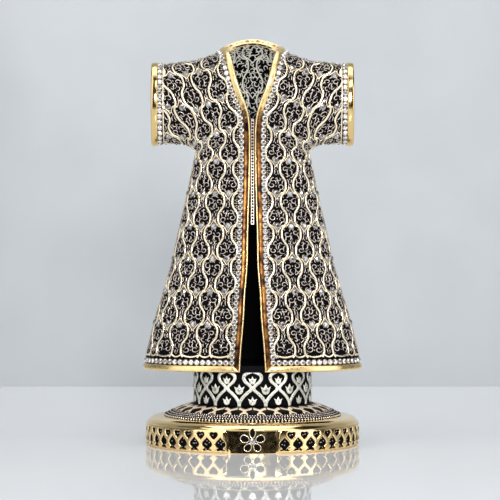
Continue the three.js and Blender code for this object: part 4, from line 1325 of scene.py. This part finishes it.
def ring_places(radius, z, count, tilt, start=0.0):
    """Even places round a ring, with normals that lean out from upright by a tilt in degrees."""
    angle = (np.arange(count) + start) * 2 * np.pi / count
    lean = math.radians(tilt)
    out = np.stack([np.sin(angle), -np.cos(angle), 0 * angle], -1)
    return out * radius + [0, 0, z], out * math.sin(lean) + [0, 0, math.cos(lean)]


BEAD_METAL = metal("bright granulation", (0.96, 0.84, 0.77), (0.02, 0.015, 0.012),
                   0.15, 0.3, (0.3, 0.9), 0.4, attribute="rise")
GRANULE_ROWS = [(42.3, 15.7, 0.56), (40.9, 16.4, 0.64), (39.5, 17.05, 0.52)]
GRANULE_PITCH = 2.4
for row_number, (radius, z, size) in enumerate(GRANULE_ROWS):
    count = int(2 * np.pi * radius / (size * GRANULE_PITCH))
    centre, normal = ring_places(radius, z, count, 38, row_number / 2)
    add_dots(f"granules_{row_number + 1}", centre, normal, size, BEAD_METAL)
centre, normal = ring_places(43.75, 14.95, 150, 62)
add_dots("granules_edge", centre, normal, 0.68, LATTICE_METAL)

# %% [markdown]
# ## The base
#
# The base is a polished ring with a fretwork of spades and hearts let into it over black, and a plain
# cartouche in front with a five-petalled flower. The openings are under two millimetres wide, so they
# are sunk into the height field and blackened, as enamelled casting is.

# %% The base's ring
BASE_PROFILE = [(0, 52.9), (1.2, 53.3), (5, 53.4), (9, 53.4), (10.8, 53.2), (12, 52.7), (13, 51.8),
                (13.8, 50.5), (14.3, 48.8), (14.5, 46.4)]
FIRST_SPADE, SPADES, CARTOUCHE = 17.0, 44, 13.0
PLATE, PLATE_SLOPE = 53.25, 0.075
FRET_RADIUS = 53.1
SPADE = whole([(0, 1.35), (1.3, 1.2), (2.45, 1.15), (1.75, 1.95), (1.05, 2.45), (1.45, 2.85),
               (2.3, 3.35), (2.65, 4.1), (2.45, 5.0), (1.6, 6.0), (0.7, 6.8), (0, 7.6)])
HEART = whole([(0, 6.5), (0.8, 7.2), (1.7, 8.1), (2.15, 9.0), (1.9, 9.85), (1.1, 10.2), (0, 9.85)])
z = np.concatenate([np.linspace(0, 11.2, 60), np.linspace(11.4, 14.5, 14)])
columns = 1152
angle = np.degrees(np.arange(columns) * 2 * np.pi / columns)
gap = (360 - 2 * FIRST_SPADE) / (SPADES - 1)
place = (angle - FIRST_SPADE) / gap
mm_per_step = gap / 360 * 2 * np.pi * FRET_RADIUS
fretted = (angle > FIRST_SPADE - gap * 0.45) & (angle < 360 - FIRST_SPADE + gap * 0.45)
gx, gz = np.meshgrid(((place + 0.5) % 1 - 0.5) * mm_per_step, z)
hx, _ = np.meshgrid((place % 1 - 0.5) * mm_per_step, z)
hearted = (angle > FIRST_SPADE) & (angle < 360 - FIRST_SPADE)
opening = np.maximum(np.where(fretted, outline_distance(gx, gz, SPADE), -9),
                     np.where(hearted, outline_distance(hx, gz, HEART), -9))
ground = smoothstep(-0.16, 0.1, opening)
from_front = np.minimum(angle, 360 - angle) / 360 * 2 * np.pi * FRET_RADIUS
edge = np.minimum(from_front - (CARTOUCHE - 1.2 + 2.0 * gz / 11.5), np.minimum(11.3 - gz, gz - 0.5))
panel = smoothstep(-0.25, 0.2, edge)
profile = read_table(BASE_PROFILE, z)
plain = smoothstep(14.5, 10.5, from_front + 0 * gz) * smoothstep(11.4, 11.1, gz)
leaning = PLATE - PLATE_SLOPE * gz - profile[:, None]
height = (panel * 0.35 - ground * 0.95 - 0.35) * (1 - plain) + leaning * plain
BASE_METAL = metal("polished gold over black enamel", (0.96, 0.72, 0.36), (0.003, 0.003, 0.004),
                   0.06, 0.15, (0.3, 0.7), 0.0, 420.0, 0.015, attribute="rise", low_metallic=0.0,
                   low_rough=0.4)
turned("base_ring", profile, z, height, BASE_METAL, "gold", ["base"], {"rise": 1 - ground})

# %% Granules on the black inside the openings
spots = np.array([(-0.9, 2.0), (0.9, 1.9), (0.0, 4.2), (-1.1, 4.6), (1.0, 4.9), (0.1, 6.0)])
spade_angle = FIRST_SPADE + np.arange(SPADES) * gap
spots = spots[None] + rng.uniform(-0.35, 0.35, (SPADES, 6, 2))
angle = np.radians(spade_angle[:, None]) + spots[..., 0] / FRET_RADIUS
heart_angle = np.radians(spade_angle[:-1, None] + gap / 2) + np.array([-0.6, 0.6]) / FRET_RADIUS
angle = np.concatenate([angle.ravel(), heart_angle.ravel()])
up = np.concatenate([spots[..., 1].ravel(), np.tile([8.6, 8.9], SPADES - 1)])
normal = np.stack([np.sin(angle), -np.cos(angle), 0 * angle], -1)
kept = rng.random(len(angle)) < 0.7
centre = normal * (read_table(BASE_PROFILE, up) - 1.2)[:, None] + np.stack([0 * up, 0 * up, up], -1)
add_dots("base_granules", centre[kept], normal[kept], 0.42, SCROLL_METAL)

# %% The flower on the cartouche
def on_base(x, z, height=0.0):
    """Points and normals of the cartouche's face: x round the base and z up it."""
    angle = np.asarray(x) / FRET_RADIUS
    radius = PLATE - PLATE_SLOPE * np.asarray(z) + height
    out = np.stack([np.sin(angle), -np.cos(angle), 0 * angle], -1)
    return out * np.asarray(radius)[..., None] + np.stack([0 * angle, 0 * angle, z + 0 * angle], -1), out


FLOWER_Z = 6.0
PETALS = [(0, 3.8, 2.2, 1.4), (72, 3.9, 2.15, 1.75), (-72, 3.9, 2.15, 1.75), (143, 3.6, 2.0, 1.6),
          (-143, 3.6, 2.0, 1.6)]
loop = np.linspace(0, 2 * np.pi, 33)
rims, fills = [], []
for degrees, reach, long, wide in PETALS:
    turn = math.radians(degrees)
    u = wide * np.sin(loop) * (1 - 0.15 * np.cos(loop))
    point = 0.4 * np.exp(-((loop - np.pi) ** 2) * 5) if degrees == 0 else 0
    v = reach - long * np.cos(loop) + point
    x, z = u * np.cos(turn) + v * np.sin(turn), FLOWER_Z - u * np.sin(turn) + v * np.cos(turn)
    centre, normal = on_base(x, z)
    rims.append(ridges(centre[None], normal[None], 0.5, 0.75))
    share = np.array([0.0, 0.5, 0.95])[:, None]
    cx, cz = reach * np.sin(turn), FLOWER_Z + reach * np.cos(turn)
    crown = 0.45 * (1 - share**2) + 0.1 + 0 * x[:-1]
    dome_points, _ = on_base(cx + (x[:-1] - cx) * share, cz + (z[:-1] - cz) * share, crown)
    fills.append((dome_points.reshape(-1, 3), flipped(grid_faces((3, 32), 0, (False, True))), np.ones(96)))
points, faces, rise = joined(rims)
add_piece("flower_rims", points, faces, LATTICE_METAL, ["base_flower"], values={"rise": rise})
points, faces, rise = joined(fills)
add_piece("flower_petals", points, faces, BLACK_ENAMEL)
centre, normal = on_base(np.array([0.0]), np.array([FLOWER_Z]), 0.3)
add_stones("flower_stone", centre, normal, 1.35)

# %% Materials for the pieces that stay as constructed
STRIP_METAL = metal("pale closure strip", (0.36, 0.29, 0.25), (0.05, 0.04, 0.03), 0.25, 0.4, metallic=0.6)
for node, material in (("floor_plate", INNER_BLACK), ("closure_strip", STRIP_METAL)):
    shown = frame["nodes"][node]
    shown.data.materials.clear()
    shown.data.materials.append(material)

# %% [markdown]
# ## The studio
#
# The kaftan stands on a glossy pale table with a grey plaster wall behind. Polished gold only looks
# like gold when it reflects both bright and dark, so the room is dark towards the front, with soft
# lights at both sides. Both stage surfaces carry painted light: their colour is darkened with distance
# from a point at the wall, as light falls off in a real studio.

# %% Table and wall
def set_ramp(ramp, *stops):
    """Sets a ramp's two stops, each a place and a colour."""
    for element, (place, colour) in zip(ramp.color_ramp.elements, stops):
        element.position = place
        element.color = (*colour, 1)


def stage_material(name, low, high, roughness, scale):
    """A pale painted surface with faint blotches."""
    material = bpy.data.materials.new(name)
    material.use_nodes = True
    tree = material.node_tree
    shader = tree.nodes["Principled BSDF"]
    shader.inputs["Roughness"].default_value = roughness
    shader.inputs["Specular IOR Level"].default_value = 0.42
    shader.inputs["Specular Tint"].default_value = (0.72, 0.86, 1.0, 1)
    place = tree.nodes.new("ShaderNodeTexCoord")
    noise = tree.nodes.new("ShaderNodeTexNoise")
    ramp = tree.nodes.new("ShaderNodeValToRGB")
    noise.inputs["Scale"].default_value = scale
    noise.inputs["Detail"].default_value = 3
    set_ramp(ramp, (0.35, low), (0.65, high))
    link(tree, (place.outputs["Object"], noise.inputs["Vector"]),
         (noise.outputs["Fac"], ramp.inputs["Fac"]),
         (ramp.outputs["Color"], shader.inputs["Base Color"]))
    return material


def add_stage(name, corners, material):
    """A flat rectangle of the room."""
    mesh = bpy.data.meshes.new(name)
    mesh.from_pydata(corners, [], [(0, 1, 2, 3)])
    mesh.materials.append(material)
    thing = bpy.data.objects.new(name, mesh)
    bpy.context.scene.collection.objects.link(thing)


def paint_light_falloff(material, centre, distances, shades):
    """Paints a falloff of light into a stage material: multiplies its colour by a shade, which runs from
    one value to another as the distance from a centre grows from one length to another."""
    tree = material.node_tree
    ramp = next(n for n in tree.nodes if n.type == "VALTORGB")
    place = tree.nodes.new("ShaderNodeTexCoord")
    offset = tree.nodes.new("ShaderNodeVectorMath")
    offset.operation = "SUBTRACT"
    offset.inputs[1].default_value = centre
    reach = tree.nodes.new("ShaderNodeVectorMath")
    reach.operation = "LENGTH"
    fade = tree.nodes.new("ShaderNodeMapRange")
    fade.inputs["From Min"].default_value, fade.inputs["From Max"].default_value = distances
    fade.inputs["To Min"].default_value, fade.inputs["To Max"].default_value = shades
    shaded = tree.nodes.new("ShaderNodeMix")
    shaded.data_type = "RGBA"
    shaded.blend_type = "MULTIPLY"
    shaded.inputs[0].default_value = 1
    link(tree, (place.outputs["Object"], offset.inputs[0]),
         (offset.outputs[0], reach.inputs[0]),
         (reach.outputs["Value"], fade.inputs["Value"]),
         (ramp.outputs["Color"], shaded.inputs[6]),
         (fade.outputs["Result"], shaded.inputs[7]),
         (shaded.outputs[2], tree.nodes["Principled BSDF"].inputs["Base Color"]))


TABLE_BACK = 0.384
tabletop = stage_material("glossy pale table", (0.94, 0.965, 0.985), (0.97, 0.985, 1.0), 0.025, 6)
# Painted light: the table is lightest near the middle of the wall's foot and darker further away.
paint_light_falloff(tabletop, (0, TABLE_BACK, 0), (0.1, 0.36), (1.0, 0.88))
add_stage("table", [(-3, -3, 0), (3, -3, 0), (3, TABLE_BACK, 0), (-3, TABLE_BACK, 0)], tabletop)
plaster = stage_material("grey plaster wall", (0.555, 0.58, 0.605), (0.62, 0.645, 0.67), 0.8, 9)
# Painted light: a pool of light on the wall behind the kaftan, darker further from it.
paint_light_falloff(plaster, (0, TABLE_BACK, 0.2), (0.14, 0.5), (0.92, 0.5))
tree = plaster.node_tree
facing = tree.nodes.new("ShaderNodeNewGeometry")
clear = tree.nodes.new("ShaderNodeBsdfTransparent")
mix = tree.nodes.new("ShaderNodeMixShader")
link(tree, (facing.outputs["Backfacing"], mix.inputs[0]),
     (tree.nodes["Principled BSDF"].outputs[0], mix.inputs[1]),
     (clear.outputs[0], mix.inputs[2]),
     (mix.outputs[0], tree.nodes["Material Output"].inputs["Surface"]))
add_stage("wall", [(-3, TABLE_BACK, -0.5), (3, TABLE_BACK, -0.5), (3, TABLE_BACK, 3),
                   (-3, TABLE_BACK, 3)], plaster)

# %% Camera
camera = bpy.data.objects.new("camera", bpy.data.cameras.new("camera"))
bpy.context.scene.collection.objects.link(camera)
camera.data.lens = 187
camera.data.sensor_width = 36
camera.data.shift_x = -0.005
CAMERA_AWAY, CAMERA_UP, AIM_UP = 1.3, 0.125, 0.097
camera.location = (0, -CAMERA_AWAY, CAMERA_UP)
camera.rotation_euler = (math.pi / 2 - math.atan2(CAMERA_UP - AIM_UP, CAMERA_AWAY), 0, 0)
bpy.context.scene.camera = camera


# %% Lights and the room's own glow
def add_light(name, place, target, width, height, power, colour=(1, 1, 1)):
    """A soft rectangular light that points at a target."""
    data = bpy.data.lights.new(name, "AREA")
    data.shape = "RECTANGLE"
    data.size, data.size_y, data.energy, data.color = width, height, power, colour
    light = bpy.data.objects.new(name, data)
    bpy.context.scene.collection.objects.link(light)
    light.location = place
    x, y, z = np.array(target, float) - np.array(place, float)
    tilt = math.pi / 2 + math.atan2(z, math.hypot(x, y))
    light.rotation_euler = (tilt, 0, math.atan2(y, x) - math.pi / 2)


add_light("left window", (-1.3, -1.25, 0.9), (0, 0, 0.1), 1.5, 2.2, 15)
add_light("right window", (1.45, -1.0, 0.5), (0, 0, 0.1), 1.0, 1.3, 9)
add_light("top light", (0, -0.1, 1.5), (0, 0.05, 0), 1.5, 0.9, 8)
add_light("high window", (0.35, -1.1, 1.15), (0, 0, 0.1), 0.9, 0.4, 3.5)
add_light("front fill", (0.1, -1.4, 0.5), (0, 0, 0.15), 0.35, 0.2, 10)
add_light("wall wash", (0, -0.6, 1.6), (0, 0.384, 0.15), 2.2, 0.5, 3.6)

world = bpy.data.worlds.new("studio")
bpy.context.scene.world = world
world.use_nodes = True
tree = world.node_tree
place = tree.nodes.new("ShaderNodeTexCoord")
split = tree.nodes.new("ShaderNodeSeparateXYZ")
shift = tree.nodes.new("ShaderNodeMapRange")
shift.inputs["From Min"].default_value = -1
shift.inputs["From Max"].default_value = 1
ramp = tree.nodes.new("ShaderNodeValToRGB")
set_ramp(ramp, (0.3, (0.045, 0.035, 0.025)), (0.72, (1.0, 1.03, 1.06)))
noise = tree.nodes.new("ShaderNodeTexNoise")
noise.inputs["Scale"].default_value = 2.2
noise.inputs["Detail"].default_value = 1
blots = tree.nodes.new("ShaderNodeValToRGB")
set_ramp(blots, (0.42, (0.10, 0.08, 0.06)), (0.56, (1, 1, 1)))
mix = tree.nodes.new("ShaderNodeMix")
mix.data_type = "RGBA"
mix.blend_type = "MULTIPLY"
mix.inputs[0].default_value = 1
link(tree, (place.outputs["Generated"], split.inputs["Vector"]),
     (split.outputs["Y"], shift.inputs["Value"]),
     (shift.outputs["Result"], ramp.inputs["Fac"]),
     (place.outputs["Generated"], noise.inputs["Vector"]),
     (noise.outputs["Fac"], blots.inputs["Fac"]),
     (ramp.outputs["Color"], mix.inputs[6]),
     (blots.outputs["Color"], mix.inputs[7]),
     (mix.outputs[2], tree.nodes["Background"].inputs["Color"]))
tree.nodes["Background"].inputs["Strength"].default_value = 0.45
bpy.context.scene.view_settings.view_transform = "Standard"

# %% Count the triangles and finish
total = sum(len(p.vertices) - 2 for o in bpy.data.objects if o.type == "MESH" for p in o.data.polygons)
print("triangles in all:", total)
